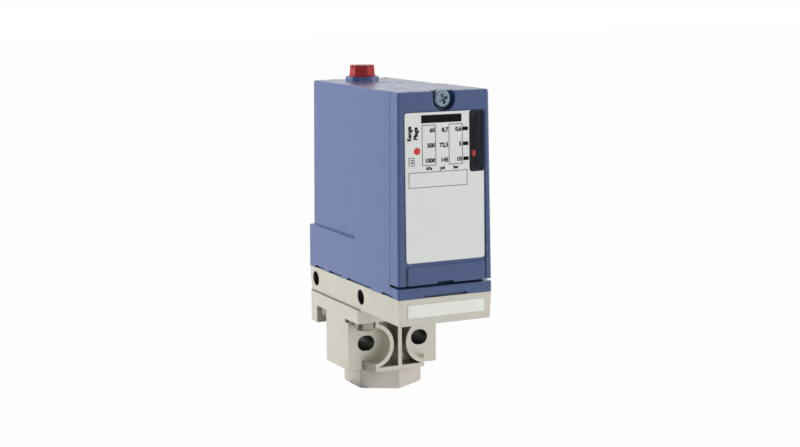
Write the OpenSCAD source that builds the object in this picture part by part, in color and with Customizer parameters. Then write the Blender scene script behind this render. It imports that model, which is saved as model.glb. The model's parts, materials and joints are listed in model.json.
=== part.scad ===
// Pressure switch: a slim plastic housing on a die-cast plate, with a die-cast
// pressure body and a hexagonal port below it. +Z is up and the front is at -Y.
// The origin is the centre of the pressure port's mouth.

/* [Overall] */
// Width across the housing's lower block
body_w = 35; // [34:0.5:38]
// Depth from the cover's front to the back
body_d = 75; // [74:0.5:80]
// Distance of the port's axis behind the cover's front
port_setback = 50; // [49:0.5:50.5]

/* [Port fitting] */
// Hexagon size across the flats
hex_af = 24; // [22:0.5:26]
// Height of the hexagon
hex_h = 7.2; // [6:0.2:9]
// Core diameter of the female G 1/4 pressure thread
port_thread_d = 11.445; // [10:0.005:12]
// Length of the pressure thread
port_thread_len = 10.4; // [9:0.1:10.4]
// Diameter of the spigot that sits in the pressure body
spigot_d = 16; // [15:0.2:16.2]
// Height of the spigot above the hexagon
spigot_h = 5.2; // [4.6:0.1:5.4]

/* [Pressure body] */
// How far the pressure body's sides lie inside the housing's
casting_in = 0.2; // [0.1:0.05:0.5]
// Height of its block, from the hexagon to the flange
block_h = 18.5; // [18:0.5:22]
// Distance of the block's front face before the port's axis
block_front = 8.9; // [8.5:0.1:9.8]
// Distance of the block's back face behind the port's axis
block_back = 10.6; // [10:0.1:10.8]
// Thickness of the top flange
flange_t = 5.3; // [4.5:0.1:7]
// Distance of the flange's front before the port's axis
flange_front = 17.2; // [16.9:0.1:18]
// Distance of the ribbed front before the port's axis
ribs_front = 14.8; // [14:0.1:16]
// Thickness of the cast ribs
rib_t = 1.5; // [1.2:0.1:1.8]
// Thickness of the rear foot
foot_t = 5; // [4:0.1:5.1]
// Height of the rear foot below the flange
foot_h = 6.3; // [4:0.1:9]
// Hole-to-hole distance of the front fixing holes
fixing_spacing = 21; // [20.6:0.1:21.4]
// Height of the fixing holes above the block's underside
fixing_up = 9.4; // [9:0.1:9.8]
// Height of the front fixing slots
fixing_d = 5.5; // [5.2:0.1:5.8]
// End-to-end length of the front fixing slots
fixing_len = 6.5; // [6.2:0.1:6.8]
// Inner radius of the C-shaped rings round the fixing slots
ring_r = 6.6; // [6.2:0.1:6.7]

/* [Base plate] */
// Height of the base plate
plate_h = 9; // [8:0.5:11]
// Draft of the base plate's sides, from top to bottom
plate_draft = 0.35; // [0.2:0.05:0.6]
// Core diameter of the M20 cable entry thread
entry_d = 18.376; // [17:0.002:18.5]
// Distance of the cable entry before the port's axis
entry_front = 33; // [32.6:0.1:34]
// Diameter of the side fixing holes
side_hole_d = 5.4; // [4.5:0.1:5.6]
// Distance between the two side fixing holes
side_spacing = 39.3; // [39:0.1:40]
// Distance of the rear side hole before the back
side_back = 4.9; // [4.5:0.1:5.2]

/* [Housing] */
// Height of the housing above the base plate
housing_h = 68; // [66:0.5:76]
// Wall thickness of the housing
wall = 2.2; // [2:0.1:2.4]
// Height of the wide lower block above the base plate
shelf_h = 15.5; // [14:0.5:17]
// How far the upper side panels lie inside the lower block
shelf_in = 1.75; // [1.5:0.05:1.9]
// Draft of the side walls, from bottom to top
side_draft = 0.65; // [0.4:0.05:0.9]
// Height of the lip below the cover
lip_h = 3.6; // [3:0.1:4.2]
// Diameter of the collar round the range adjuster
collar_d = 12; // [11:0.1:14]
// Height of the collar
collar_h = 1.4; // [1:0.1:2]

/* [Cover] */
// Depth of the cover from its front to the seam
cover_d = 6.5; // [6.3:0.1:7]
// Gap between the cover's lower edge and the lip
cover_gap = 0.9; // [0.6:0.1:1.2]
// How far the front leans back between bottom and top
cover_lean = 0.9; // [0.5:0.1:1.1]
// Depth of the label's recess
label_recess = 0.5; // [0.4:0.05:0.7]
// Thickness of the label
label_t = 0.3; // [0.2:0.05:0.35]
// Height of the lower panel of the cover
panel_h = 6.2; // [5:0.1:7]
// Height of the label
label_h = 49.3; // [48.6:0.1:49.6]
// Width of the indicator window
window_w = 5.4; // [4.8:0.1:5.6]
// Height of the indicator window
window_h = 20.2; // [19.8:0.1:20.6]
// Head diameter of the cover screw
cover_head_d = 6; // [5.6:0.1:6.8]

/* [Range adjuster] */
// Distance of the adjuster's axis before the back
range_in = 10.5; // [10:0.1:11]
// Diameter of the adjusting screw
spindle_d = 6; // [5:0.5:6]
// Size of the red cap across its flats, at its foot
cap_af = 7.9; // [7:0.1:8.6]
// Height of the red cap
cap_h = 4; // [3:0.1:5]
// Outer diameter of the range spring
spring_d = 14; // [13:0.5:14.5]
// Wire diameter of the range spring
spring_wire = 1.6; // [1.4:0.1:1.8]
// Turns of the range spring
spring_turns = 8; // [6:1:9]
// Height of the range nut
nut_h = 5; // [4.5:0.1:5.4]
// Height of the pointer above the base plate
pointer_up = 46.6; // [45.6:0.1:47]

/* [Lever] */
// Distance of the lever's pivot before the port's axis
pivot_front = 9; // [8.5:0.1:9.5]
// Height of the pivot above the base plate
pivot_up = 7.9; // [7.6:0.1:8.2]
// Diameter of the pivot pin
pin_d = 4; // [3:0.1:4.2]
// Thickness of the lever
lever_t = 2.5; // [2:0.1:3]

/* [Contact block] */
// Clearance of the contact block to the housing's inside on each side
block_room = 0.25; // [0.15:0.05:0.4]
// Height of the contact block
contact_h = 22.6; // [22.2:0.1:23.4]
// Height of the contact block above the base plate
contact_up = 16.4; // [16:0.1:17]
// Distance of the terminals' axes inside the block's sides
terminal_in = 7.55; // [7.4:0.05:7.7]
// Distance between the two rows of terminals
terminal_rise = 10; // [9.8:0.1:10.2]

/* [Hidden] */
$fn = 48;
fit = 0.05;
gap = 0.3;
seat = 0.1;
soft_fn = 28;

// Planes from front to back.
y_front = -port_setback;
y_back = body_d - port_setback;
y_seam = y_front + cover_d;
y_block = -block_front;
y_ribs = -ribs_front;
y_flange = -flange_front;
y_pivot = -pivot_front;

// Planes from bottom to top.
z_block = hex_h;
z_flange = z_block + block_h;
z_plate = z_flange + flange_t;
z_house = z_plate + plate_h;
z_lip = z_house + lip_h;
z_cover = z_lip + cover_gap;
z_shelf = z_house + shelf_h;
z_top = z_house + housing_h;
z_roof = z_top - wall;
z_pivot = z_house + pivot_up;
z_fixing = z_block + fixing_up;
z_pointer = z_house + pointer_up;

// Outer half widths.
half_low = body_w / 2;
half_top = half_low - side_draft;
half_casting = half_low - casting_in;
half_plate = half_casting - 0.1;

// Pressure body details.
stem_end = 9.4;
ring_end = 12.8;
ring_front = 9.5;
pocket_floor = 1.5;
pocket_half = 8.5;
pocket_back = 6.6;
pocket_step = 7.4;
foot_back = y_back - 0.9;
id_h = 4.4;
id_up = 4.1;
front_screw = [half_casting - 4.3, y_flange + 3.8];
rear_screw = [half_casting - 3.9, y_back - 10.1];
nick = 1.2;
nick_deep = 2.5;
m4_r = 2;
m4_head_r = 3.4;
m4_head_h = 2.9;
m4_len = 12;
m4_drive_r = 1.75;
m3_r = 1.5;
m3_head_r = 2.75;
m3_head_h = 2.2;

// Pressure chamber.
diaphragm_r = spigot_d / 2 - 1;
diaphragm_t = 0.8;
z_spigot = z_block + spigot_h;
z_diaphragm = z_spigot + seat;
z_piston = z_diaphragm + diaphragm_t + seat;
piston_r = 4.4;
nose_r = 2.2;
z_lever_low = z_pivot - lever_t / 2;
seal_wire = 1.2;
seal_down = 0.5;
nose_tip = 0.6;
nose_tip_h = 1;

// Housing details.
edge_r = 0.8;
draft_slope = side_draft / housing_h;
front_r = 0.9;
upper_start = 12;
ramp_len = 3;
ramp_y = y_front + 35.3;
ramp_lean = 4;
ramp_slope = ramp_lean / housing_h;
back_lean = 0.8;
back_slope = back_lean / housing_h;
inner_low = half_low - wall;
inner_top = half_top - wall + 0.2;
inner_rear = inner_low - shelf_in;
sill_h = 2.9;
sill_t = 2.5;
lip_t = 1.6;
z_sill = z_lip + sill_h;
mouth_half = inner_low;
mouth_top = z_top - 7;
ledge_w = 1.5;
ledge_t = 1.2;
gasket_t = 1.1;
y_ledge = y_seam + gasket_t;
y_room = y_ledge + ledge_t;
notch_h = 0.9;
notch_in = 1.1;
notch_half = 8;
// Notches along the lower side edges, as shares of the depth from the back.
notch_start = [0.072, 0.243, 0.453, 0.833];
notch_share = [0.104, 0.147, 0.264, 0.107];
dot_r = 0.9;
dot_in = 2.9;
dot_x = half_top - shelf_in - dot_in;
web_t = 2;
y_web = -15.4;
web_low = 14;
web_high = 40;
web_half = inner_rear + 0.8;
base_screw_x = half_low - 4.3;
base_screw_front = y_front + 9.8;
base_screw_back = y_back - 20;
base_boss_r = 2.5;
base_boss_h = 6.4;
block_boss_r = 2.5;
block_boss_len = 7;
m3_drive_r = 1.2;
base_screw_len = 11;

// Cover details.
cover_slope = cover_lean / (z_top - z_cover);
lean_angle = atan(cover_slope);
z_cover_screw = z_top - 2.7;
cover_screw_r = 1.75;
screw_notch_r = 4.1;
screw_notch_deep = 2.8;
cover_head_h = 2.1;
cover_screw_len = 12.5;
cover_boss_r = 3.6;
cover_boss_len = 12.5;
label_left = half_low - 3.2;
label_right = half_low - 2.7;
label_low = 7.4;
label_corner = 1;
label_top = label_low + label_h;
window_low = label_top - window_h;
panel_left = half_low - 3.6;
panel_right = half_low - 2.65;
pry_half = 2.9;
cover_back_gap = 0.2;
back_t = 0.8;
rim_left = label_left + 0.7;
rim_right = label_right + 0.45;
window_right = label_right + 0.05;
lens_t = 1.4;
cover_skin = 2.2;
lens_pocket = 1.7;
lens_lip = 0.9;
retainer_r = 3;
retainer_t = 1;
land_in = inner_low - ledge_w + 0.1;

// Range adjuster details.
range_back = y_back - range_in;
spindle_r = spindle_d / 2;
z_collar = z_top + collar_h;
z_bridge = z_top - 6.5;
bridge_t = 1.5;
thrust_r = 5;
thrust_t = 1.6;
z_nut = z_pointer - nut_h / 2;
nut_len = 12;
seat_t = 1.6;
seat_r = spring_d / 2 + seat;
seat_stub = 2;
spindle_up = 6;
cap_taper = 0.25;
cap_rim = 0.2;
cap_slot = 1;
cap_top = 1.3;
spring_sides = 8;
spring_steps = 20;
spring_end = 0.75;
z_seat = z_pivot + lever_t / 2;
z_spring = z_seat + seat_t;
spring_r = (spring_d - spring_wire) / 2;

// Frame details.
frame_t = 1.2;
frame_room = 3.05;
frame_half = inner_rear - frame_room;
frame_in = frame_half - frame_t;
frame_front = y_pivot - 4;
frame_back = y_back - wall - back_lean - 0.6;
frame_screw_x = frame_in - m3_head_r - 0.55;
frame_screw_y = [y_pivot, range_back - 3.5];
frame_screw_len = 5;
ear_h = 12;
ear_slope = 6;
tail_half = 3;
tail_nose_r = 1.2;
upright_front = range_back - 7.5;
nut_half = frame_in - gap;

// Pointer details.
arm_t = 1.2;
arm_h = 3;
arm_foot = 3;
arm_x = nut_half - arm_t;
y_arm_end = y_front + 4;
return_t = 0.8;
return_half = 0.45;
tip_h = 1.8;
tip_w = 1.6;
tip_x = window_right - window_w / 2 + seat;
tip_skin = 0.6;

// Contact block details.
y_contact = y_front + 14;
block_half = inner_rear - block_room;
terminal_x = block_half - terminal_in;
y_contact_back = y_web - gap;
z_contact = z_house + contact_up;
z_low_row = z_contact + 6;
z_high_row = z_low_row + terminal_rise;
plunger_front = 21.5;
plunger_r = 1.8;
plunger_out = 1.6;
neck_r = 1.1;
lever_swing = 5;
plunger_travel = (plunger_front - pivot_front) * lever_swing * PI / 180;
piston_travel = pivot_front * lever_swing * PI / 180;
chamber_d = 7;
strip_t = 1;
strip_half = 1.6;
clamp_t = 1.2;
clamp_half = 3.1;
chamber_half = clamp_half + 0.7;
terminal_r = 1.75;
terminal_head_r = 3;
terminal_head_h = 2;
terminal_screw_len = 5;
terminal_deep = 3.4;
pad_t = 1.2;
small_wire = 0.5;
small_turns = 5;
block_screw_in = 2;
block_screw_x = block_half - block_screw_in;
block_screw_len = y_web + 4.4 - y_contact;
z_middle = (z_low_row + z_high_row) / 2;
z_block_screw = z_middle;
bridge_plate_t = 0.8;
tip_step = 0.2;
contact_r = 1.3;
contact_open = bridge_plate_t / 2 + tip_step + plunger_travel / 2 + seat;
room_half = terminal_x + contact_r + 1.15;
room_deep = 3;
room_low = 5.9;

// Earth terminal and seals.
earth_y = -26.5;
earth_deep = 4;
washer_half = 3.2;
washer_t = 0.8;
groove_out = half_low - 1.2;
groove_w = 0.9;
groove_deep = 0.9;
earth_x = -(groove_out - groove_w - washer_half - 1);
seal_r = 4.4;
seal_h = 0.9;

// A box between two corners given as ranges.
module bar(x, y, z) {
    translate([x[0], y[0], z[0]]) cube([x[1] - x[0], y[1] - y[0], z[1] - z[0]]);
}

// Extrudes an outline drawn in X and Z along Y.
module along_y(y) {
    translate([0, y[1], 0]) rotate([90, 0, 0]) linear_extrude(y[1] - y[0]) children();
}

// Extrudes an outline drawn in Y and Z along X.
module along_x(x) {
    translate([x[0], 0, 0]) rotate([90, 0, 90]) linear_extrude(x[1] - x[0]) children();
}

// A round bar along Z, X or Y.
module rod_z(r, z, x = 0, y = 0) {
    translate([x, y, z[0]]) cylinder(r = r, h = z[1] - z[0]);
}

module rod_x(r, x, y, z) {
    translate([x[0], y, z]) rotate([0, 90, 0]) cylinder(r = r, h = x[1] - x[0]);
}

module rod_y(r, y, x, z) {
    translate([x, y[1], z]) rotate([90, 0, 0]) cylinder(r = r, h = y[1] - y[0]);
}

module mirrored() {
    children();
    mirror([1, 0, 0]) children();
}

// A rectangle with round corners, from its lower left corner.
module rounded_rect(w, h, r) {
    translate([r, 0]) square([w - 2 * r, h]);
    translate([0, r]) square([w, h - 2 * r]);
    for (x = [r, w - r], y = [r, h - r]) translate([x, y]) circle(r);
}

// A vertical corner post, round on its side and on its top.
// It leans inward by the housing's draft, and by slope along Y.
module post(x, y, z, r, slope = 0) {
    rise = z[1] - r - z[0];
    translate([x - draft_slope * (z[0] - z_house) - r, y, z[0]])
        cylinder(r = r, h = 0.1, $fn = soft_fn);
    translate([x - draft_slope * (z[0] - z_house + rise) - r, y + slope * rise, z[1] - r])
        sphere(r = r, $fn = soft_fn);
}

// Puts what is drawn upright at y = 0, z = 0 on the leaning front of the cover.
module on_cover_face() {
    translate([0, y_front, z_cover]) rotate([-lean_angle, 0, 0]) children();
}

// A pan-head or cheese-head screw along +Z, with its head below z = 0.
module screw_up(r, len, head_r, head_h, drive_r) {
    difference() {
        union() {
            cylinder(r = r, h = len);
            translate([0, 0, -head_h]) cylinder(r = head_r, h = head_h);
        }
        translate([0, 0, -head_h]) cylinder(r = drive_r, h = head_h * 0.6, $fn = 6);
    }
}

// A screw along +Y with a cross recess in its head, which lies at y < 0.
module cross_screw(r, len, head_r, head_h) {
    arm = head_r * 1.1;
    slot = head_r * 0.24;
    difference() {
        union() {
            rod_y(r, [0, len], 0, 0);
            rod_y(head_r, [-head_h, 0], 0, 0);
        }
        for (turn = [0, 90]) {
            rotate([0, turn, 0])
                translate([-arm / 2, -head_h - gap, -slot / 2])
                    cube([arm, head_h * 0.55 + gap, slot]);
        }
    }
}

// ---- Pressure side ----

module hexagon(h, af) {
    rotate([0, 0, 30]) cylinder(r = af / sqrt(3), h = h, $fn = 6);
}

module port_fitting() {
    chamfer = 0.5;
    bore_r = port_thread_d / 2;
    color("silver") difference() {
        union() {
            intersection() {
                hexagon(hex_h, hex_af);
                cylinder(r1 = hex_af / sqrt(3) - chamfer, r2 = hex_af / sqrt(3) + hex_h, h = hex_h);
            }
            rod_z(spigot_d / 2, [hex_h / 2, z_spigot]);
        }
        rod_z(bore_r, [-1, port_thread_len]);
        rod_z(bore_r / 2, [-1, z_spigot + 1]);
        // Groove for the seal ring, near the spigot's top.
        translate([0, 0, z_spigot - seal_down - seal_wire - 2 * seat]) rotate_extrude()
            translate([spigot_d / 2 - seal_wire, 0]) square([seal_wire + 1, seal_wire + 2 * seat]);
    }
}

module port_seal() {
    color("black") translate([0, 0, z_spigot - seal_down - seal_wire / 2 - seat]) rotate_extrude()
        translate([spigot_d / 2 - seal_wire / 2, 0]) circle(seal_wire / 2 - fit, $fn = 24);
}

module diaphragm() {
    color("dimgray") rod_z(diaphragm_r, [z_diaphragm, z_diaphragm + diaphragm_t]);
}

module piston() {
    shoulder = z_house - piston_travel - seat;
    color("gainsboro") {
        rod_z(piston_r, [z_piston, shoulder]);
        rod_z(nose_r, [shoulder, z_lever_low - seat - nose_tip_h]);
        translate([0, 0, z_lever_low - seat - nose_tip_h])
            cylinder(r1 = nose_r, r2 = nose_tip, h = nose_tip_h);
    }
}

// One half of the ribbed front, drawn in X and Z.
module ring_half() {
    x = fixing_spacing / 2;
    intersection() {
        translate([x, z_fixing]) difference() {
            circle(ring_r + rib_t);
            circle(ring_r);
        }
        translate([0, z_block]) square([ring_end, block_h]);
    }
    // The stem that ties the ring's upper end to the flange.
    translate([stem_end - rib_t + gap, z_fixing + ring_r])
        square([rib_t - gap, z_flange - z_fixing - ring_r + 1]);
}

module front_ribs() {
    translate([-rib_t / 2, z_block]) square([rib_t, block_h + 1]);
    translate([-ring_end, z_block]) square([2 * ring_end, pocket_floor]);
    ring_half();
    mirror([1, 0]) ring_half();
}

// One of the two slots for the front fixing screws, in X and Z.
module fixing_slot() {
    run = fixing_len - fixing_d;
    translate([fixing_spacing / 2, z_fixing]) {
        for (side = [-0.5, 0.5]) translate([side * run, 0]) circle(fixing_d / 2);
        square([run, fixing_d], center = true);
    }
}

// Both flange screws of one side, as places on the plan.
module at_flange_screws() {
    mirrored() {
        for (p = [front_screw, rear_screw]) translate([p[0], p[1], 0]) children();
    }
}

// Room for the flange screws' shanks, and for their heads below the flange.
module flange_screw_room() {
    at_flange_screws() {
        rod_z(m4_r + fit, [z_flange - foot_h - 1, z_plate + 1]);
        rod_z(m4_head_r + seat, [z_flange - m4_head_h - gap, z_flange]);
    }
}

module pressure_body() {
    foot = [foot_back - foot_t, foot_back];
    color("lightgray") difference() {
        union() {
            // Block, flange and rear foot.
            bar([-half_casting, half_casting], [y_block, block_back], [z_block, z_flange]);
            bar([-half_casting, half_casting], [y_flange, foot_back], [z_flange, z_plate]);
            bar([-half_casting, half_casting], foot, [z_flange - foot_h, z_flange]);
        }
        // Cored pockets either side of the middle rib.
        along_y([y_ribs - 1, y_block]) pocket_outline(pocket_floor);
        along_y([y_block - 1, -pocket_back]) pocket_outline(pocket_step);
        // Fixing slots, screw holes and the chamber.
        mirrored() {
            along_y([y_block - 1, block_back + 1]) fixing_slot();
            // Small relief at the block's upper front corner.
            bar([half_casting - nick, half_casting + 1], [y_block - 1, y_block + nick_deep],
                [z_flange - nick, z_flange]);
        }
        flange_screw_room();
        rod_z(spigot_d / 2 + fit, [z_block - 1, z_spigot + seat]);
        rod_z(diaphragm_r + fit, [z_spigot, z_diaphragm + diaphragm_t + seat]);
        rod_z(piston_r + fit, [z_block, z_plate + 1]);
    }
    // The ribs' outer ends spread from their front towards the block.
    color("lightgray") difference() {
        intersection() {
            along_y([y_ribs, y_block]) front_ribs();
            translate([0, 0, z_block]) linear_extrude(z_plate - z_block) polygon([
                [-ring_front, y_ribs], [ring_front, y_ribs],
                [ring_end, y_block + 1], [-ring_end, y_block + 1]]);
        }
        flange_screw_room();
    }
}

// Outline of the two cored pockets above a floor; the rings' inside stays solid.
module pocket_outline(floor_up) {
    difference() {
        translate([-pocket_half, z_block + floor_up])
            square([2 * pocket_half, block_h - floor_up]);
        front_ribs();
        for (x = [-1, 1]) {
            translate([x * fixing_spacing / 2, z_fixing]) circle(ring_r + rib_t);
        }
    }
}

module flange_screws() {
    color("silver") at_flange_screws() translate([0, 0, z_flange])
        screw_up(m4_r, m4_len, m4_head_r, m4_head_h, m4_drive_r);
}

// ---- Base plate ----

module base_plate() {
    low = half_plate - plate_draft;
    high = half_plate;
    front = y_front + 0.1;
    back = y_back - 0.1;
    plug = m4_len - flange_t + 1;
    color("lightgray") difference() {
        intersection() {
            along_y([y_front, y_back]) polygon([
                [-low, z_plate], [low, z_plate], [high, z_house], [-high, z_house]]);
            along_x([-half_low, half_low]) polygon([
                [front + plate_draft, z_plate], [back - plate_draft, z_plate],
                [back, z_house], [front, z_house]]);
        }
        rod_z(entry_d / 2, [z_plate - 1, z_house + 1], 0, -entry_front);
        for (y = [y_back - side_back - side_spacing, y_back - side_back]) {
            rod_x(side_hole_d / 2, [-half_low, half_low], y, z_plate + plate_h / 2 + 0.2);
        }
        rod_z(piston_r + gap, [z_plate - 1, z_house + 1]);
        groove_ring([z_house - groove_deep, z_house + 1]);
        mirrored() {
            for (y = [base_screw_front, base_screw_back]) {
                rod_z(m3_r + fit, [z_plate - 1, z_house + 1], base_screw_x, y);
                rod_z(m3_head_r + seat, [z_plate - 1, z_plate + m3_head_h + gap],
                      base_screw_x, y);
            }
            for (y = frame_screw_y) {
                rod_z(m3_r + fit, [z_house - frame_screw_len + 1, z_house + 1], frame_screw_x, y);
            }
        }
        at_flange_screws() rod_z(m4_r + fit, [z_plate - 1, z_plate + plug]);
        rod_z(m3_r + fit, [z_house - earth_deep, z_house + 1], earth_x, earth_y);
    }
}

module id_plate() {
    t = 0.2;
    left = half_low - 3.5;
    right = half_low - 3;
    draft = atan(plate_draft / plate_h);
    color("white")
        translate([-left, y_front + 0.1 + plate_draft / 2 - 0.02, z_plate + plate_h / 2])
            rotate([draft, 0, 0]) translate([0, -t, id_h / 2 - id_up])
                along_y([0, t]) rounded_rect(left + right, id_h, 0.3);
}

// The ring of the gasket's groove, with a clearance taken off all round.
module groove_ring(z, clear = 0) {
    half = groove_out - clear;
    y = [y_front + 1.2 + clear, y_back - 1.2 - clear];
    t = groove_w - 2 * clear;
    difference() {
        bar([-half, half], y, z);
        bar([-half + t, half - t], [y[0] + t, y[1] - t], [z[0] - 1, z[1] + 1]);
    }
}

module base_gasket() {
    color("black") groove_ring([z_house - groove_deep + seat, z_house - seat / 2], seat);
}

// ---- Housing ----

// Upper part in front of the side panels' ramp.
module upper_front() {
    r = edge_r;
    hull() mirrored() {
        post(half_low, y_seam - 2, [z_house, z_top], r);
        post(half_low, ramp_y, [z_house, z_top], r, -ramp_slope);
        post(half_low - shelf_in, ramp_y + ramp_len, [z_house, z_top], r, -ramp_slope);
    }
}

// Narrower upper part behind the ramp.
module upper_back() {
    r = edge_r;
    hull() mirrored() {
        post(half_low - shelf_in, y_seam + upper_start, [z_house, z_top], r);
        post(half_low - shelf_in, y_back - r, [z_house, z_top], r, -back_slope);
    }
}

module lower_block() {
    r = edge_r;
    hull() mirrored() {
        post(half_low, y_front + r, [z_house, z_shelf], r);
        post(half_low, y_back - r, [z_house, z_shelf], r);
    }
}

// Shallow notches along the housing's lower edge, from front to back.
module edge_notches() {
    depth = [half_low - notch_in, half_low + 1];
    z = [z_house - 1, z_house + notch_h];
    mirrored() {
        for (i = [0 : 3]) {
            back = y_back - body_d * notch_start[i];
            bar(depth, [back - body_d * notch_share[i], back], z);
        }
    }
    bar([-notch_half, notch_half], [y_front - 1, y_front + notch_in], z);
}

// Small moulded recesses in the roof, as the top shows.
module roof_marks() {
    z = [z_top - 0.3, z_top + 1];
    bar([-3 * dot_r, 4 * dot_r], [-2.5 * dot_r, -dot_r], z);
    bar([5 * dot_r, 7.5 * dot_r], [-7 * dot_r, -5.5 * dot_r], z);
    for (p = [[3.6 - dot_x, y_back - 4.5], [dot_x, y_back - 4.5], [dot_x, y_pivot - 1]]) {
        rod_z(dot_r, z, p[0], p[1]);
    }
}

module housing_rooms() {
    // The wide lower room, the front room and the narrower rear room.
    bar([-inner_low, inner_low], [y_room, y_back - wall], [z_house - 1, z_shelf - wall]);
    bar([-inner_top, inner_top], [y_room, ramp_y - wall], [z_house - 1, z_roof]);
    bar([-inner_rear, inner_rear], [y_room, y_back - wall - back_lean], [z_house - 1, z_roof]);
    // The hollow under the lip.
    bar([-inner_low, inner_low], [y_front + wall, y_room + 1], [z_house - 1, z_lip - lip_t]);
    // The mouth with the seat of the cover's gasket.
    bar([-mouth_half, mouth_half], [y_seam - 1, y_ledge], [z_sill, mouth_top]);
    bar([-mouth_half + ledge_w, mouth_half - ledge_w], [y_seam - 1, y_room + 1],
        [z_sill + ledge_w, mouth_top - ledge_w]);
}

module housing_bosses() {
    // Partition between the wiring space and the mechanism.
    bar([-web_half, web_half], [y_web, y_web + web_t], [z_house + web_low, z_house + web_high]);
    intersection() {
        rod_y(cover_boss_r, [y_seam, y_seam + cover_boss_len], 0, z_cover_screw);
        bar([-half_low, half_low], [y_seam, y_back], [z_house, z_top - edge_r]);
    }
    mirrored() {
        rod_y(block_boss_r, [y_web, y_web + block_boss_len], block_screw_x, z_block_screw);
        for (y = [base_screw_front, base_screw_back]) {
            rod_z(base_boss_r, [z_house, z_house + base_boss_h], base_screw_x, y);
        }
    }
}

module housing() {
    color("steelblue") difference() {
        union() {
            difference() {
                union() {
                    upper_front();
                    upper_back();
                    lower_block();
                }
                housing_rooms();
                // The cover's place in front of the seam.
                bar([-half_low - 1, half_low + 1], [y_front - 1, y_seam], [z_lip, z_top + 1]);
                edge_notches();
                roof_marks();
            }
            // Sill that the cover stands behind.
            bar([-inner_low + gap, inner_low - gap], [y_seam - sill_t, y_room], [z_lip, z_sill]);
            housing_bosses();
            rod_z(collar_d / 2, [z_top - 0.5, z_collar], 0, range_back);
        }
        rod_z(spindle_r + fit, [z_roof - 1, z_collar + 1], 0, range_back);
        rod_z(seal_r + seat, [z_top - seal_h, z_collar + 1], 0, range_back);
        rod_y(cover_screw_r + fit, [y_seam - 1, y_seam + cover_boss_len - 1], 0, z_cover_screw);
        rod_y(retainer_r + seat, [y_seam - 1, y_seam + retainer_t + gap], 0, z_cover_screw);
        mirrored() {
            rod_y(m3_r + fit, [y_web - 1, y_web + block_boss_len - 1],
                  block_screw_x, z_block_screw);
            for (y = [base_screw_front, base_screw_back]) {
                rod_z(m3_r + fit, [z_house - 1, z_house + base_boss_h - 1], base_screw_x, y);
            }
        }
    }
}

module base_screws() {
    color("silver") mirrored() {
        for (y = [base_screw_front, base_screw_back]) {
            translate([base_screw_x, y, z_plate + m3_head_h + gap])
                screw_up(m3_r, base_screw_len, m3_head_r, m3_head_h, m3_drive_r);
        }
    }
}

module spindle_seal() {
    color("black") translate([0, range_back, 0]) difference() {
        rod_z(seal_r, [z_top - seal_h + seat, z_collar - seat]);
        rod_z(spindle_r + fit, [z_top - seal_h - 1, z_collar + 1]);
    }
}

// ---- Cover ----

module cover_outline() {
    hull() mirrored() {
        post(half_low, y_front + front_r, [z_cover, z_top], front_r, cover_slope);
        post(half_low, y_seam + 1, [z_cover, z_top], edge_r);
    }
}

module label_outline() {
    translate([-label_left, label_low])
        rounded_rect(label_left + label_right, label_h, label_corner);
}

// The window's outline on the cover's face, made smaller by inset all round.
module window_outline(inset) {
    translate([window_right - window_w + inset, window_low + inset])
        rounded_rect(window_w - 2 * inset, window_h - 2 * inset, label_corner);
}

module screw_notch() {
    deep = y_front + cover_lean + screw_notch_deep;
    rod_y(screw_notch_r, [y_front - 1, deep], 0, z_cover_screw);
    bar([-screw_notch_r, screw_notch_r], [y_front - 1, deep], [z_cover_screw, z_top + 1]);
}

module front_cover() {
    inside_low = z_sill + ledge_w;
    inside_top = mouth_top - ledge_w;
    color("steelblue") difference() {
        cover_outline();
        bar([-half_low, half_low], [y_seam - cover_back_gap, y_seam + 3], [z_cover - 1, z_top + 1]);
        on_cover_face() {
            // Hollow behind the front wall, and the rooms beside the screw.
            bar([-land_in, land_in], [cover_skin, cover_d + 2],
                [inside_low - z_cover, inside_top - z_cover]);
            mirrored() bar([screw_notch_r + 1.4, land_in], [cover_skin, cover_d + 2],
                           [mouth_top - z_cover + gap, z_roof - z_cover]);
            // Label recess, with the lower panel left standing.
            along_y([-1, label_recess]) difference() {
                translate([-rim_left, -1])
                    rounded_rect(rim_left + rim_right, label_top + 1.3, 1.2);
                translate([-panel_left, -2])
                    rounded_rect(panel_left + panel_right, panel_h + 2, 1.1);
            }
            along_y([-1, lens_pocket]) window_outline(0);
            along_y([-1, cover_skin + 1]) window_outline(lens_lip);
        }
        // Place of the housing's sill.
        bar([-inner_low, inner_low], [y_seam - sill_t - gap, y_seam + 1],
            [z_cover - 1, z_sill + gap]);
        // Recess and hole of the cover screw, and the small notch below.
        screw_notch();
        rod_y(cover_screw_r + gap, [y_front, y_seam + 1], 0, z_cover_screw);
        bar([-pry_half, pry_half], [y_front - 1, y_front + cover_skin],
            [z_cover - 1, z_cover + 0.7]);
    }
}

module cover_gasket() {
    half = mouth_half - seat;
    z = [z_sill + seat, mouth_top - seat];
    t = ledge_w - 2 * seat;
    color("black") along_y([y_seam - seat, y_ledge - seat]) difference() {
        translate([-half, z[0]]) square([2 * half, z[1] - z[0]]);
        translate([-half + t, z[0] + t]) square([2 * (half - t), z[1] - z[0] - 2 * t]);
    }
}

module cover_screw() {
    color("silver")
        translate([0, y_front + cover_lean + screw_notch_deep - seat, z_cover_screw])
            cross_screw(cover_screw_r, cover_screw_len, cover_head_d / 2, cover_head_h);
}

module screw_retainer() {
    color("white") difference() {
        rod_y(retainer_r, [y_seam, y_seam + retainer_t], 0, z_cover_screw);
        rod_y(cover_screw_r + fit, [y_seam - 1, y_seam + 3], 0, z_cover_screw);
    }
}

module label_plate() {
    color("white") on_cover_face() along_y([label_recess - label_t, label_recess])
        difference() {
            label_outline();
            window_outline(-seat);
        }
}

module indicator_window() {
    color("black") on_cover_face()
        along_y([label_recess - label_t, label_recess - label_t + lens_t])
            window_outline(seat);
}

// ---- Indicator ----

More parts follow.
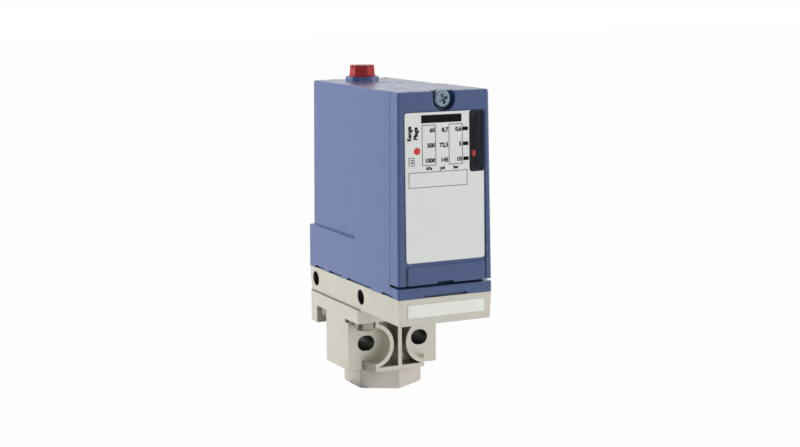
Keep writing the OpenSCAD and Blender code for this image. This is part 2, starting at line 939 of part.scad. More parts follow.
module pointer_backplate() {
    z = [z_cover + window_low - 1, mouth_top - ledge_w - gap];
    right = mouth_half - ledge_w - seat;
    color("black") {
        bar([nut_half + gap, right], [y_seam - back_t, y_seam], z);
        bar([right - back_t, right], [y_seam - back_t, y_room], z);
    }
}

// A small moulding that clips over the arm's bent front end.
module range_pointer() {
    y = y_arm_end + return_t / 2;
    half_y = return_t / 2 + tip_skin;
    color("red") difference() {
        bar([tip_x - tip_w / 2, tip_x + tip_w / 2], [y - half_y, y + half_y],
            [z_pointer - tip_h / 2, z_pointer + tip_h / 2]);
        bar([0, tip_x + tip_w / 2 - tip_skin], [y_arm_end - fit, y_arm_end + return_t + fit],
            [z_pointer - return_half - fit, z_pointer + return_half + fit]);
    }
}

module pointer_arm() {
    y_nut = range_back - nut_len / 2;
    z = [z_pointer - arm_h / 2, z_pointer + arm_h / 2];
    color("silver") {
        bar([arm_x, nut_half], [y_arm_end, y_nut], z);
        bar([arm_x, tip_x + tip_w / 2 - tip_skin - fit], [y_arm_end, y_arm_end + return_t],
            [z_pointer - return_half, z_pointer + return_half]);
        bar([arm_x - arm_foot, nut_half], [y_nut - arm_t, y_nut], z);
    }
}

module range_nut() {
    color("goldenrod") difference() {
        bar([-nut_half, nut_half], [range_back - nut_len / 2, range_back + nut_len / 2],
            [z_nut, z_nut + nut_h]);
        rod_z(spindle_r + fit, [z_nut - 1, z_nut + nut_h + 1], 0, range_back);
    }
}

module range_cap() {
    foot_r = cap_af / sqrt(3);
    color("red") translate([0, range_back, z_collar + seat]) difference() {
        union() {
            rotate([0, 0, 30])
                cylinder(r1 = foot_r, r2 = foot_r - cap_taper, h = cap_h, $fn = 6);
            cylinder(r = foot_r + cap_rim, h = cap_rim * 3);
        }
        bar([-foot_r, foot_r], [-cap_slot / 2, cap_slot / 2], [cap_h - 1, cap_h + 1]);
        rod_z(neck_r * 2 + fit, [-1, cap_h - cap_top]);
    }
}

module range_spindle() {
    color("silver") translate([0, range_back, 0]) {
        rod_z(neck_r * 2, [z_collar - gap, z_collar + cap_h - cap_top]);
        rod_z(spindle_r, [z_spring + spindle_up, z_collar - gap]);
        rod_z(thrust_r, [z_bridge - seat - thrust_t, z_bridge - seat]);
    }
}

// ---- Springs, each swept as one tube with closed, level end turns ----

function coil_z(t, turns, low, high) =
    low + (high - low)
        * max(0, min(1, (t - spring_end) / (turns - 2 * spring_end)));

function coil_ring(t, turns, r, wire, low, high) =
    [for (k = [0 : spring_sides - 1])
        let (a = 360 * k / spring_sides, reach = r + wire / 2 * cos(a))
        [reach * cos(360 * t), reach * sin(360 * t),
         coil_z(t, turns, low, high) + wire / 2 * sin(a)]];

module coil(turns, r, wire, low, high) {
    n = spring_sides;
    count = turns * spring_steps;
    points = [for (i = [0 : count])
                 each coil_ring(i / spring_steps, turns, r, wire, low, high)];
    walls = [for (i = [0 : count - 1], k = [0 : n - 1])
                [i * n + k, i * n + (k + 1) % n, (i + 1) * n + (k + 1) % n, (i + 1) * n + k]];
    ends = [[for (k = [n - 1 : -1 : 0]) k], [for (k = [0 : n - 1]) count * n + k]];
    polyhedron(points = points, faces = concat(walls, ends), convexity = 10);
}

module range_spring() {
    low = z_spring + spring_wire / 2 + seat;
    high = z_nut - spring_wire / 2 - seat;
    color("dimgray") translate([0, range_back, 0])
        coil(spring_turns, spring_r, spring_wire, low, high);
}

module spring_seat() {
    color("silver") translate([0, range_back, 0]) {
        rod_z(seat_r, [z_seat, z_spring]);
        rod_z(spring_r - spring_wire / 2 - gap, [z_spring, z_spring + seat_stub]);
    }
}

// ---- Frame and lever ----

module frame_profile() {
    z_ear = z_house + ear_h;
    z_high = z_bridge + bridge_t;
    polygon([[frame_front, z_house], [frame_back, z_house], [frame_back, z_high],
             [upright_front, z_high], [upright_front, z_ear + ear_slope],
             [upright_front - ear_slope, z_ear], [frame_front, z_ear]]);
}

module mechanism_frame() {
    color("silver") difference() {
        union() {
            mirrored() along_x([frame_in, frame_half]) frame_profile();
            bar([-frame_half, frame_half], [frame_front, frame_back],
                [z_house, z_house + frame_t]);
            bar([-frame_half, frame_half], [upright_front, frame_back],
                [z_bridge, z_bridge + bridge_t]);
        }
        rod_z(nose_r + gap, [z_house - 1, z_house + 3]);
        rod_z(spindle_r + fit, [z_bridge - 1, z_bridge + 3], 0, range_back);
        rod_x(pin_d / 2 + fit, [-half_low, half_low], y_pivot, z_pivot);
        mirrored() {
            for (y = frame_screw_y) {
                rod_z(m3_r + fit, [z_house - 1, z_house + 3], frame_screw_x, y);
            }
        }
    }
}

module frame_screws() {
    color("silver") mirrored() {
        for (y = frame_screw_y) {
            translate([frame_screw_x, y, z_house + frame_t]) mirror([0, 0, 1])
                screw_up(m3_r, frame_screw_len, m3_head_r, m3_head_h, m3_drive_r);
        }
    }
}

module rocker_lever() {
    z = [z_pivot - lever_t / 2, z_pivot + lever_t / 2];
    hub_r = pin_d / 2 + 1.4;
    half = frame_in - gap;
    color("gainsboro") difference() {
        union() {
            bar([-half, half], [y_pivot, frame_back - 1], z);
            bar([-tail_half, tail_half], [-plunger_front - tail_half, y_pivot], z);
            rod_x(hub_r, [-half, half], y_pivot, z_pivot);
            rod_z(tail_nose_r, [z_pivot, z_contact - plunger_out - seat], 0, -plunger_front);
        }
        rod_x(pin_d / 2 + fit, [-half - 1, half + 1], y_pivot, z_pivot);
    }
}

module lever_pin() {
    end = frame_half + washer_t;
    color("silver") {
        rod_x(pin_d / 2, [-end, end], y_pivot, z_pivot);
        rod_x(pin_d / 2 + 0.8, [frame_half + seat, end], y_pivot, z_pivot);
    }
}

// ---- Contact block ----

module at_terminals(side = [1, -1]) {
    for (x = [-1, 1], row = side) {
        translate([x * terminal_x, 0, z_middle]) mirror([0, 0, row > 0 ? 0 : 1])
            translate([0, 0, -terminal_rise / 2]) children();
    }
}

module contact_block() {
    y_tab = y_contact + chamber_d;
    y_plunger = -plunger_front;
    strip_low = clamp_half - strip_t;
    color("ivory") difference() {
        bar([-block_half, block_half], [y_contact, y_contact_back],
            [z_contact, z_contact + contact_h]);
        // Terminal chambers, screw holes and the slots of the contact strips.
        at_terminals() {
            bar([-chamber_half, chamber_half], [y_contact - 1, y_tab],
                [-chamber_half, chamber_half]);
            rod_y(terminal_r + fit, [y_tab - 1, y_tab + terminal_deep], 0, 0);
            bar([-strip_half - seat, strip_half + seat], [y_tab - 1, y_plunger],
                [strip_low - seat, terminal_rise / 2 - contact_open + seat]);
        }
        // Contact room, open to the back, and the plunger's guide.
        bar([-room_half, room_half], [y_plunger - room_deep, y_contact_back + 1],
            [z_middle - room_low, z_middle + room_low]);
        rod_z(plunger_r + fit, [z_contact - 1, z_middle], 0, y_plunger);
        mirrored() {
            rod_y(m3_r + fit, [y_contact - 1, y_contact_back + 1], block_screw_x, z_block_screw);
        }
    }
}

module block_screws() {
    color("silver") mirrored() {
        translate([block_screw_x, y_contact - seat, z_block_screw])
            cross_screw(m3_r, block_screw_len, m3_head_r, m3_head_h);
    }
}

// One terminal: tapped pad, contact strip and rivet, at the pad's screw axis.
module terminal() {
    y_tab = y_contact + chamber_d;
    y_plunger = -plunger_front;
    difference() {
        bar([-clamp_half, clamp_half], [y_tab - pad_t, y_tab], [-clamp_half, clamp_half]);
        rod_y(terminal_r + fit, [y_tab - 2 * pad_t, y_tab + 1], 0, 0);
    }
    bar([-strip_half, strip_half], [y_tab - pad_t, y_plunger + strip_half],
        [clamp_half - strip_t, clamp_half]);
    rod_z(contact_r, [clamp_half - strip_t, terminal_rise / 2 - contact_open], 0, y_plunger);
}

module terminals() {
    color("goldenrod") at_terminals() terminal();
}

module terminal_clamps() {
    y = y_contact + chamber_d - pad_t - seat;
    color("silver") at_terminals() difference() {
        bar([-clamp_half, clamp_half], [y - clamp_t, y], [-clamp_half, clamp_half]);
        rod_y(terminal_r + fit, [y - 2 * clamp_t, y + 1], 0, 0);
    }
}

module terminal_screws() {
    y = y_contact + chamber_d - pad_t - clamp_t - 2 * seat;
    color("silver") at_terminals() translate([0, y, 0])
        cross_screw(terminal_r, terminal_screw_len, terminal_head_r, terminal_head_h);
}

module contact_plunger() {
    z_shoulder = z_middle + plunger_travel / 2 - bridge_plate_t / 2 - fit;
    y_plunger = -plunger_front;
    color("red") {
        rod_z(plunger_r, [z_contact - plunger_out, z_shoulder], 0, y_plunger);
        rod_z(neck_r, [z_shoulder, z_middle + room_low - plunger_out], 0, y_plunger);
    }
}

module contact_bridge() {
    z = z_middle + plunger_travel / 2;
    half = terminal_x + contact_r;
    y_plunger = -plunger_front;
    thick = bridge_plate_t / 2;
    color("goldenrod") difference() {
        union() {
            bar([-half, half], [y_plunger - strip_half, y_plunger + strip_half],
                [z - thick, z + thick]);
            mirrored() rod_z(contact_r, [z - thick - tip_step, z + thick + tip_step],
                             terminal_x, y_plunger);
        }
        rod_z(neck_r + fit, [z - 1, z + 1], 0, y_plunger);
    }
}

module plunger_spring() {
    low = z_middle + plunger_travel / 2 + bridge_plate_t / 2 + small_wire / 2 + seat;
    high = z_middle + room_low - small_wire / 2 - seat;
    color("silver") translate([0, -plunger_front, 0])
        coil(small_turns, neck_r + small_wire / 2 + seat, small_wire, low, high);
}

module earth_washer() {
    color("silver") difference() {
        bar([earth_x - washer_half, earth_x + washer_half],
            [earth_y - washer_half, earth_y + washer_half],
            [z_house + seat, z_house + seat + washer_t]);
        rod_z(m3_r + fit, [z_house, z_house + 3], earth_x, earth_y);
    }
}

module earth_screw() {
    color("silver") translate([earth_x, earth_y, z_house + washer_t + 2 * seat])
        rotate([-90, 0, 0]) cross_screw(m3_r, earth_deep, m3_head_r, m3_head_h);
}

port_fitting();
port_seal();
diaphragm();
piston();
pressure_body();
flange_screws();
base_plate();
id_plate();
base_gasket();
housing();
base_screws();
spindle_seal();
front_cover();
cover_gasket();
cover_screw();
screw_retainer();
label_plate();
indicator_window();
pointer_backplate();
range_pointer();
pointer_arm();
range_nut();
range_cap();
range_spindle();
range_spring();
spring_seat();
mechanism_frame();
frame_screws();
rocker_lever();
lever_pin();
contact_block();
block_screws();
contact_plunger();
plunger_spring();
contact_bridge();
terminals();
terminal_clamps();
terminal_screws();
earth_screw();
earth_washer();
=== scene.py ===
"""Finish, print and light of a slim pressure switch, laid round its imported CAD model."""

from __future__ import annotations

import json
import logging
import math
from dataclasses import dataclass, field, replace
from enum import Enum
from typing import Any, ClassVar, Sequence

import bmesh
import bpy
from mathutils import Matrix, Vector
from mathutils.bvhtree import BVHTree


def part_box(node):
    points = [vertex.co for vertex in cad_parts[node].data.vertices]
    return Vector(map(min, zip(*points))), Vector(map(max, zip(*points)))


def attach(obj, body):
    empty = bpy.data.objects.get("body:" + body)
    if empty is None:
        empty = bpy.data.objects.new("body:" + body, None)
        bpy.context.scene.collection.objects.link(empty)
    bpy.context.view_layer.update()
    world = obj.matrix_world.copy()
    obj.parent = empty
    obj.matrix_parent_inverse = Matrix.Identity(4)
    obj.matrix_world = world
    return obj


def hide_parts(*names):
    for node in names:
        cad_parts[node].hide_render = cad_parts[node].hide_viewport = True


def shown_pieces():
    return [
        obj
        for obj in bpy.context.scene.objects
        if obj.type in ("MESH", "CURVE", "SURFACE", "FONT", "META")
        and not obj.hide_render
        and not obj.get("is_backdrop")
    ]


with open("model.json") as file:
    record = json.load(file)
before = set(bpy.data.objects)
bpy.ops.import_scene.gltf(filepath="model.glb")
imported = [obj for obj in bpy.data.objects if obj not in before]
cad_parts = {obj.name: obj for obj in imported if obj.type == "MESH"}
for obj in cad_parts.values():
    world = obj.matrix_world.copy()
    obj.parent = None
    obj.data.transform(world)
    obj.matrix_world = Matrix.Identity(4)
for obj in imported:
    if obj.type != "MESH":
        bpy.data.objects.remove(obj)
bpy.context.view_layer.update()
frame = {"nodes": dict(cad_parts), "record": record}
MOUNTS = {m["name"]: m for m in frame["record"]["mounts"]}

LOG = logging.getLogger("pressure_switch")
MM = 0.001
WELD = 1e-7  # corners of a copied node nearer than this, in metres, become one
SMOOTH_ANGLE = math.radians(32)  # edges that turn more than this stay sharp
WHITE = (1.0, 1.0, 1.0, 1.0)
# The kind of socket for each type of default that a Geometry Nodes input may have.
SOCKETS = {float: "Float", int: "Int", tuple: "Vector", type(None): "Material"}
# Numbers of a Mix node's sockets for colours: share, first, second, and what comes out.
SHARE, FIRST, SECOND, MIXED = 0, 6, 7, 2
PHOTO_W, PHOTO_H = 800, 447
LONG_SIDE = max(PHOTO_W, PHOTO_H)

Pair = tuple[float, float]
Triple = tuple[float, float, float]

# Image points, in pixels of the photograph's 800 by 447 frame.
EDGES: dict[str, float] = {"left": 309.5, "right": 491.8, "top": 64.3, "bottom": 388.8}
POINTS: dict[str, Pair] = {
    "cap": (361.6, 70.2),
    "cover_screw": (441.7, 98.4),
    "window": (476.8, 140.2),
    "pointer": (473.3, 153.8),
    "side_hole": (359.2, 297.0),
    "fixing_left": (366.2, 343.9),
    "fixing_right": (419.3, 336.8),
    "tick_top": (465.2, 128.3),
    "tick_bottom": (466.0, 158.2),
    "box_left": (429.0, 145.4),
    "box_right": (455.7, 143.8),
    "red_mark": (417.1, 151.5),
    "blank_box": (438.3, 179.0),
    "header_bar": (441.4, 118.4),
    "symbol": (411.6, 162.2),
    "words": (412.6, 134.0),
}


class Axis(Enum):
    """The way a screw points, from its head to its tip, as Euler angles."""

    UP = (0.0, 0.0, 0.0)
    DOWN = (math.pi, 0.0, 0.0)
    BACK = (-math.pi / 2, 0.0, 0.0)


class Recess(Enum):
    """The drive in a screw's head: arm length and width as shares of the head's radius."""

    CROSS = (1.1, 0.32)
    SOCKET = (0.9, 0.78)


class Across(Enum):
    """The coordinate that a hairline lies at right angles to."""

    DEPTH = "Y"
    HEIGHT = "Z"


# ---- Small helpers ----


def linear(hex_colour: str) -> tuple[float, ...]:
    """Turns an sRGB hex colour to linear light.

    Args:
        hex_colour: Six digits, with or without a leading sign.

    Returns:
        Red, green, blue and an alpha of one.
    """
    digits = hex_colour.lstrip("#")
    parts = [int(digits[i : i + 2], 16) / 255 for i in (0, 2, 4)]
    light = [c / 12.92 if c <= 0.04045 else ((c + 0.055) / 1.055) ** 2.4 for c in parts]
    return (light[0], light[1], light[2], 1.0)


def new_object(name: str, data: Any) -> bpy.types.Object:
    """Links an object at the origin to the scene.

    Args:
        name: The object's name.
        data: Its mesh, type, lamp or camera.

    Returns:
        The object.
    """
    made = bpy.data.objects.new(name, data)
    bpy.context.scene.collection.objects.link(made)
    return made


def mesh_from(name: str, shape: bmesh.types.BMesh) -> bpy.types.Mesh:
    """Turns a bmesh to a mesh and frees it.

    Args:
        name: The mesh's name.
        shape: The bmesh.

    Returns:
        The mesh.
    """
    mesh = bpy.data.meshes.new(name)
    shape.to_mesh(mesh)
    shape.free()
    return mesh


def smooth_by_angle(mesh: bpy.types.Mesh) -> None:
    """Shades a mesh smooth, with its steeper edges kept sharp.

    Args:
        mesh: The mesh.
    """
    shape = bmesh.new()
    shape.from_mesh(mesh)
    for face in shape.faces:
        face.smooth = True
    for edge in shape.edges:
        edge.smooth = len(edge.link_faces) == 2 and edge.calc_face_angle(math.pi) < SMOOTH_ANGLE
    shape.to_mesh(mesh)
    shape.free()


def baked_mesh(piece: bpy.types.Object, name: str) -> bpy.types.Mesh:
    """Turns an object with live modifiers to a plain mesh and removes the object.

    Args:
        piece: The object with its modifiers.
        name: The new mesh's name.

    Returns:
        The evaluated mesh, in the object's own place.
    """
    bpy.context.view_layer.update()
    graph = bpy.context.evaluated_depsgraph_get()
    mesh = bpy.data.meshes.new_from_object(piece.evaluated_get(graph), depsgraph=graph)
    mesh.name = name
    piece.modifiers.clear()
    bpy.data.objects.remove(piece)
    return mesh


def merged_copy(node: str) -> bpy.types.Mesh:
    """Copies a CAD node's loose triangles and joins them to closed shells.

    Args:
        node: The CAD node's name.

    Returns:
        A mesh of its own.
    """
    shape = bmesh.new()
    shape.from_mesh(frame["nodes"][node].data)
    bmesh.ops.remove_doubles(shape, verts=shape.verts, dist=WELD)
    return mesh_from(f"{node}_copy", shape)


def islands(node: str) -> list[tuple[Vector, Vector]]:
    """Finds the box of each separate solid of a CAD node.

    Args:
        node: The CAD node's name.

    Returns:
        Lowest and highest corner of each solid, from left to right and front to back.
    """
    shape = bmesh.new()
    shape.from_mesh(merged_copy(node))
    shape.verts.ensure_lookup_table()
    left = set(range(len(shape.verts)))
    boxes: list[tuple[Vector, Vector]] = []
    while left:
        heap, group = [left.pop()], []
        while heap:
            vert = shape.verts[heap.pop()]
            group.append(vert.co.copy())
            for edge in vert.link_edges:
                other = edge.other_vert(vert).index
                if other in left:
                    left.discard(other)
                    heap.append(other)
        low, high = ([end(p[k] for p in group) for k in range(3)] for end in (min, max))
        boxes.append((Vector(low), Vector(high)))
    shape.free()
    return sorted(boxes, key=lambda pair: (round(pair[0].x, 5), round(pair[0].y, 5), pair[0].z))


def report(piece: bpy.types.Object) -> None:
    """Logs a finished piece."""
    LOG.info("%s: %d faces", piece.name, len(piece.data.polygons))


# ---- Node trees ----


class NodeTree:
    """A shader or geometry tree, with one short way to add a node."""

    def __init__(self, tree: Any) -> None:
        """Takes the tree."""
        self.tree = tree

    def node(self, kind: str, inputs: Any = (), **settings: Any) -> Any:
        """Adds one node, with its settings, values and links.

        Args:
            kind: The node's type.
            inputs: Values or linked outputs for its inputs, in order, or by name or number.
            settings: Attributes of the node itself.

        Returns:
            The new node.
        """
        made = self.tree.nodes.new(kind)
        for key, value in settings.items():
            setattr(made, key, value)
        for key, value in inputs.items() if isinstance(inputs, dict) else enumerate(inputs):
            if isinstance(value, bpy.types.NodeSocket):
                self.tree.links.new(value, made.inputs[key])
            else:
                made.inputs[key].default_value = value
        return made

    def out(self, kind: str, inputs: Any = (), output: Any = 0, **settings: Any) -> Any:
        """Adds one node and gives one of its outputs."""
        return self.node(kind, inputs, **settings).outputs[output]


class ShaderTree(NodeTree):
    """The tree of a material or world, whose patterns all read one kind of coordinates."""

    def __init__(self, owner: Any, coordinates: str = "Object") -> None:
        """Clears the owner's nodes and adds the coordinates.

        Args:
            owner: The material or world.
            coordinates: Which coordinates its patterns read.
        """
        owner.use_nodes = True
        owner.node_tree.nodes.clear()
        super().__init__(owner.node_tree)
        self.coords = self.out("ShaderNodeTexCoord", output=coordinates)

    def texture(
        self, kind: str, size: float, more: Any = None, output: Any = 0, **settings: Any
    ) -> Any:
        """Gives a pattern of this kind whose cells are size millimetres across."""
        inputs = {"Vector": self.coords, "Scale": 1 / (size * MM)} | (more or {})
        return self.out(f"ShaderNodeTex{kind}", inputs, output, **settings)


class GeometryTree(NodeTree):
    """A Geometry Nodes tree with named inputs, run once on a mesh."""

    def __init__(self, name: str, inputs: dict[str, Any]) -> None:
        """Makes the tree and its inputs.

        Args:
            name: The tree's name.
            inputs: A default for each named input, whose type is that of its socket.
        """
        super().__init__(bpy.data.node_groups.new(name, "GeometryNodeTree"))
        face = self.tree.interface
        for way in ("INPUT", "OUTPUT"):
            face.new_socket("Geometry", in_out=way, socket_type="NodeSocketGeometry")
        self.keys: dict[str, str] = {}
        for key, value in inputs.items():
            kind = f"NodeSocket{SOCKETS[type(value)]}"
            socket = face.new_socket(key, in_out="INPUT", socket_type=kind)
            if value is not None:
                socket.default_value = value
            self.keys[key] = socket.identifier
        self.source = self.node("NodeGroupInput")

    def value(self, key: str) -> Any:
        """Gives the output socket of a named input."""
        return self.source.outputs[key]

    def helix(self, radius: Any, pitch: Any, run: Any, tooth: Any, sides: int) -> Any:
        """Winds a four-sided ridge round the Z axis.

        Args:
            radius: Radius of the ridge's middle line.
            pitch: How far it rises in a turn.
            run: How far it rises in all.
            tooth: Half the ridge's width.
            sides: Steps in a turn.

        Returns:
            The socket with the ridge.
        """
        turns = self.out("ShaderNodeMath", (run, pitch), operation="DIVIDE")
        inputs = {"Start Radius": radius, "End Radius": radius, "Height": run}
        inputs |= {"Resolution": sides, "Rotations": turns}
        path = self.out("GeometryNodeCurveSpiral", inputs)
        inputs = {"Resolution": 4, "Radius": tooth}
        ring = self.out("GeometryNodeCurvePrimitiveCircle", inputs, "Curve")
        inputs = {"Curve": path, "Profile Curve": ring, "Fill Caps": True}
        return self.out("GeometryNodeCurveToMesh", inputs)

    def close(self, geometry: Any, material: Any) -> None:
        """Ends the tree in Realize Instances and Set Material.

        Args:
            geometry: The socket with the finished geometry.
            material: The material it is dressed in, or the input that names it.
        """
        real = self.out("GeometryNodeRealizeInstances", {"Geometry": geometry})
        dressed = self.out("GeometryNodeSetMaterial", {"Geometry": real, "Material": material})
        self.node("NodeGroupOutput", {0: dressed})

    def run(self, name: str, mesh: bpy.types.Mesh, values: dict[str, Any]) -> bpy.types.Mesh:
        """Runs the tree on a mesh.

        Args:
            name: The result's name.
            mesh: What the tree starts from.
            values: A value for each named input that differs from its default.

        Returns:
            The plain result.
        """
        carrier = new_object(f"{name}_carrier", mesh)
        modifier = carrier.modifiers.new(name, "NODES")
        modifier.node_group = self.tree
        for key, value in values.items():
            modifier[self.keys[key]] = value
        return baked_mesh(carrier, name)


# ---- Camera and placing ----


@dataclass(frozen=True)
class PhotoCamera:
    """The photograph's camera, in the part's own frame."""

    place: Triple = (-0.23808, -0.50470, 0.14479)
    yaw: float = -25.958
    pitch: float = 8.897
    roll: float = -0.494
    lens: float = 70.966
    sensor_width: float = 36.0
    shift_x: float = 0.0
    shift_y: float = 0.0
    near: float = 0.01

    def axes(self) -> Matrix:
        """Finds the camera's own directions.

        Returns:
            Right, up and backward as columns.
        """
        yaw, pitch, roll = (math.radians(a) for a in (self.yaw, self.pitch, self.roll))
        flat = math.cos(pitch)
        forward = Vector((-math.sin(yaw) * flat, math.cos(yaw) * flat, -math.sin(pitch)))
        right = Vector((math.cos(yaw), math.sin(yaw), 0.0))
        up = right.cross(forward)
        turned = right * math.cos(roll) + up * math.sin(roll)
        raised = up * math.cos(roll) - right * math.sin(roll)
        return Matrix((turned, raised, -forward)).transposed()

    def build(self) -> None:
        """Makes the camera and gives it to the scene."""
        data = bpy.data.cameras.new("photo_camera")
        data.sensor_fit = "AUTO"
        data.sensor_width = self.sensor_width
        data.lens = self.lens
        data.shift_x, data.shift_y = self.shift_x, self.shift_y
        data.clip_start = self.near
        made = new_object("photo_camera", data)
        made.matrix_world = Matrix.Translation(self.place) @ self.axes().to_4x4()
        bpy.context.scene.camera = made

    def ray(self, x: float, y: float) -> Vector:
        """Finds the ray through an image point.

        Args:
            x: The point's distance from the frame's left edge, in pixels.
            y: Its distance from the top edge.

        Returns:
            The ray's direction.
        """
        across = x - PHOTO_W / 2 + self.shift_x * LONG_SIDE
        up = PHOTO_H / 2 - y + self.shift_y * LONG_SIDE
        away = -LONG_SIDE * self.lens / self.sensor_width
        return (self.axes() @ Vector((across, up, away))).normalized()

    def land(self, point: str, carrier: bpy.types.Object) -> tuple[Vector, Vector]:
        """Finds where an image point's ray meets the piece that carries it.

        Args:
            point: The image point's name.
            carrier: The finished piece it lies on.

        Returns:
            The place and the surface's direction there; a miss takes the nearest corner.
        """
        eye, way = Vector(self.place), self.ray(*POINTS[point])
        corners = [v.co.copy() for v in carrier.data.vertices]
        tree = BVHTree.FromPolygons(corners, [tuple(p.vertices) for p in carrier.data.polygons])
        place, normal, _, _ = tree.ray_cast(eye, way)
        if place is None:
            best = min(corners, key=lambda c: (c - eye - way * (c - eye).dot(way)).length)
            place, normal, _, _ = tree.find_nearest(best)
            LOG.info("point %s misses %s", point, carrier.name)
        return place, normal

    def pixel(self, place: Sequence[float]) -> Pair:
        """Finds the image point at which a place shows.

        Args:
            place: The place, in metres.

        Returns:
            Its x and y in the frame, in pixels.
        """
        local = self.axes().transposed() @ (Vector(place) - Vector(self.place))
        scale = LONG_SIDE * self.lens / self.sensor_width / -local.z
        return (
            PHOTO_W / 2 - self.shift_x * LONG_SIDE + local.x * scale,
            PHOTO_H / 2 + self.shift_y * LONG_SIDE - local.y * scale,
        )


# ---- Finishes ----

# Finer layers of noise, and the strength of each against the one before.
FINE_NOISE = {"Detail": 3.0, "Roughness": 0.55}
SOFT_NOISE = {"Detail": 2.0, "Roughness": 0.55}
PATCH_SPAN = (0.35, 0.65)  # noise over which the first tone turns to the second
GRAIN_DIP = -0.1  # how far the grain's pits pull back to the first tone
GLOSS_PATCH = 0.6  # size of the patches of gloss, as a share of the patches of tone
GLOSS_SPAN = (0.3, 0.7)  # noise over which the roughness goes through its spread
SHADE_START = 0.04  # open share of the sky at which the painted shade in a pocket is at its darkest
EDGE_SPAN = (0.98, 0.8)  # agreement of rounded and true normal, from flat to full wear and painted highlight
EDGE_SAMPLES, SHADE_SAMPLES = 4, 8  # rays for the rounding of edges, and for the painted shade in pockets
BOX_BLUR = 0.01 * MM  # how far to either side a box's edge fades
RING_SCALE = 6.3  # makes the wave texture's rings two grains apart


@dataclass(frozen=True)
class Hairline:
    """A dark line where two pieces meet, a dark joint or a painted shadow under an edge: place and
    width in millimetres, and its tone.
    """

    across: Across
    place: float
    width: float
    tone: float

    def kept(self, tree: ShaderTree) -> Any:
        """Finds the share of the colour that is kept, less on the line.

        Args:
            tree: The material's tree.

        Returns:
            The share's socket.
        """
        away = tree.out("ShaderNodeSeparateXYZ", (tree.coords,), self.across.value)
        inputs = (away, self.place * MM, self.width * MM / 2)
        inside = tree.out("ShaderNodeMath", inputs, operation="COMPARE")
        return tree.out("ShaderNodeMapRange", (inside, 0.0, 1.0, 1.0, self.tone))


@dataclass(frozen=True)
class Box:
    """A box round one spot of a piece: its middle and its half size in millimetres."""

    middle: Triple
    half: Triple

    def outside(self, tree: ShaderTree) -> Any:
        """Tells the outside of the box from its inside.

        Args:
            tree: The material's tree.

        Returns:
            A socket with zero inside the box and one outside it.
        """
        middle, half = (tuple(v * MM for v in side) for side in (self.middle, self.half))
        kind = "ShaderNodeVectorMath"
        way = tree.out(kind, (tree.coords, middle), operation="SUBTRACT")
        far = tree.out(kind, (way,), operation="ABSOLUTE")
        over = tree.out(kind, (far, half), operation="SUBTRACT")
        most, *others = tree.node("ShaderNodeSeparateXYZ", (over,)).outputs
        for other in others:
            most = tree.out("ShaderNodeMath", (most, other), operation="MAXIMUM")
        return tree.out("ShaderNodeMapRange", (most, -BOX_BLUR, BOX_BLUR))


@dataclass(frozen=True)
class PaintedShadeBore(Box):
    """A hole with painted shade inside, which keeps only a share of the colour."""

    tone: float = 0.22

    def kept(self, tree: ShaderTree) -> Any:
        """Gives the share of the colour that is kept, less inside the hole where shade is painted.
        """
        inputs = (self.outside(tree), 0.0, 1.0, self.tone, 1.0)
        return tree.out("ShaderNodeMapRange", inputs)


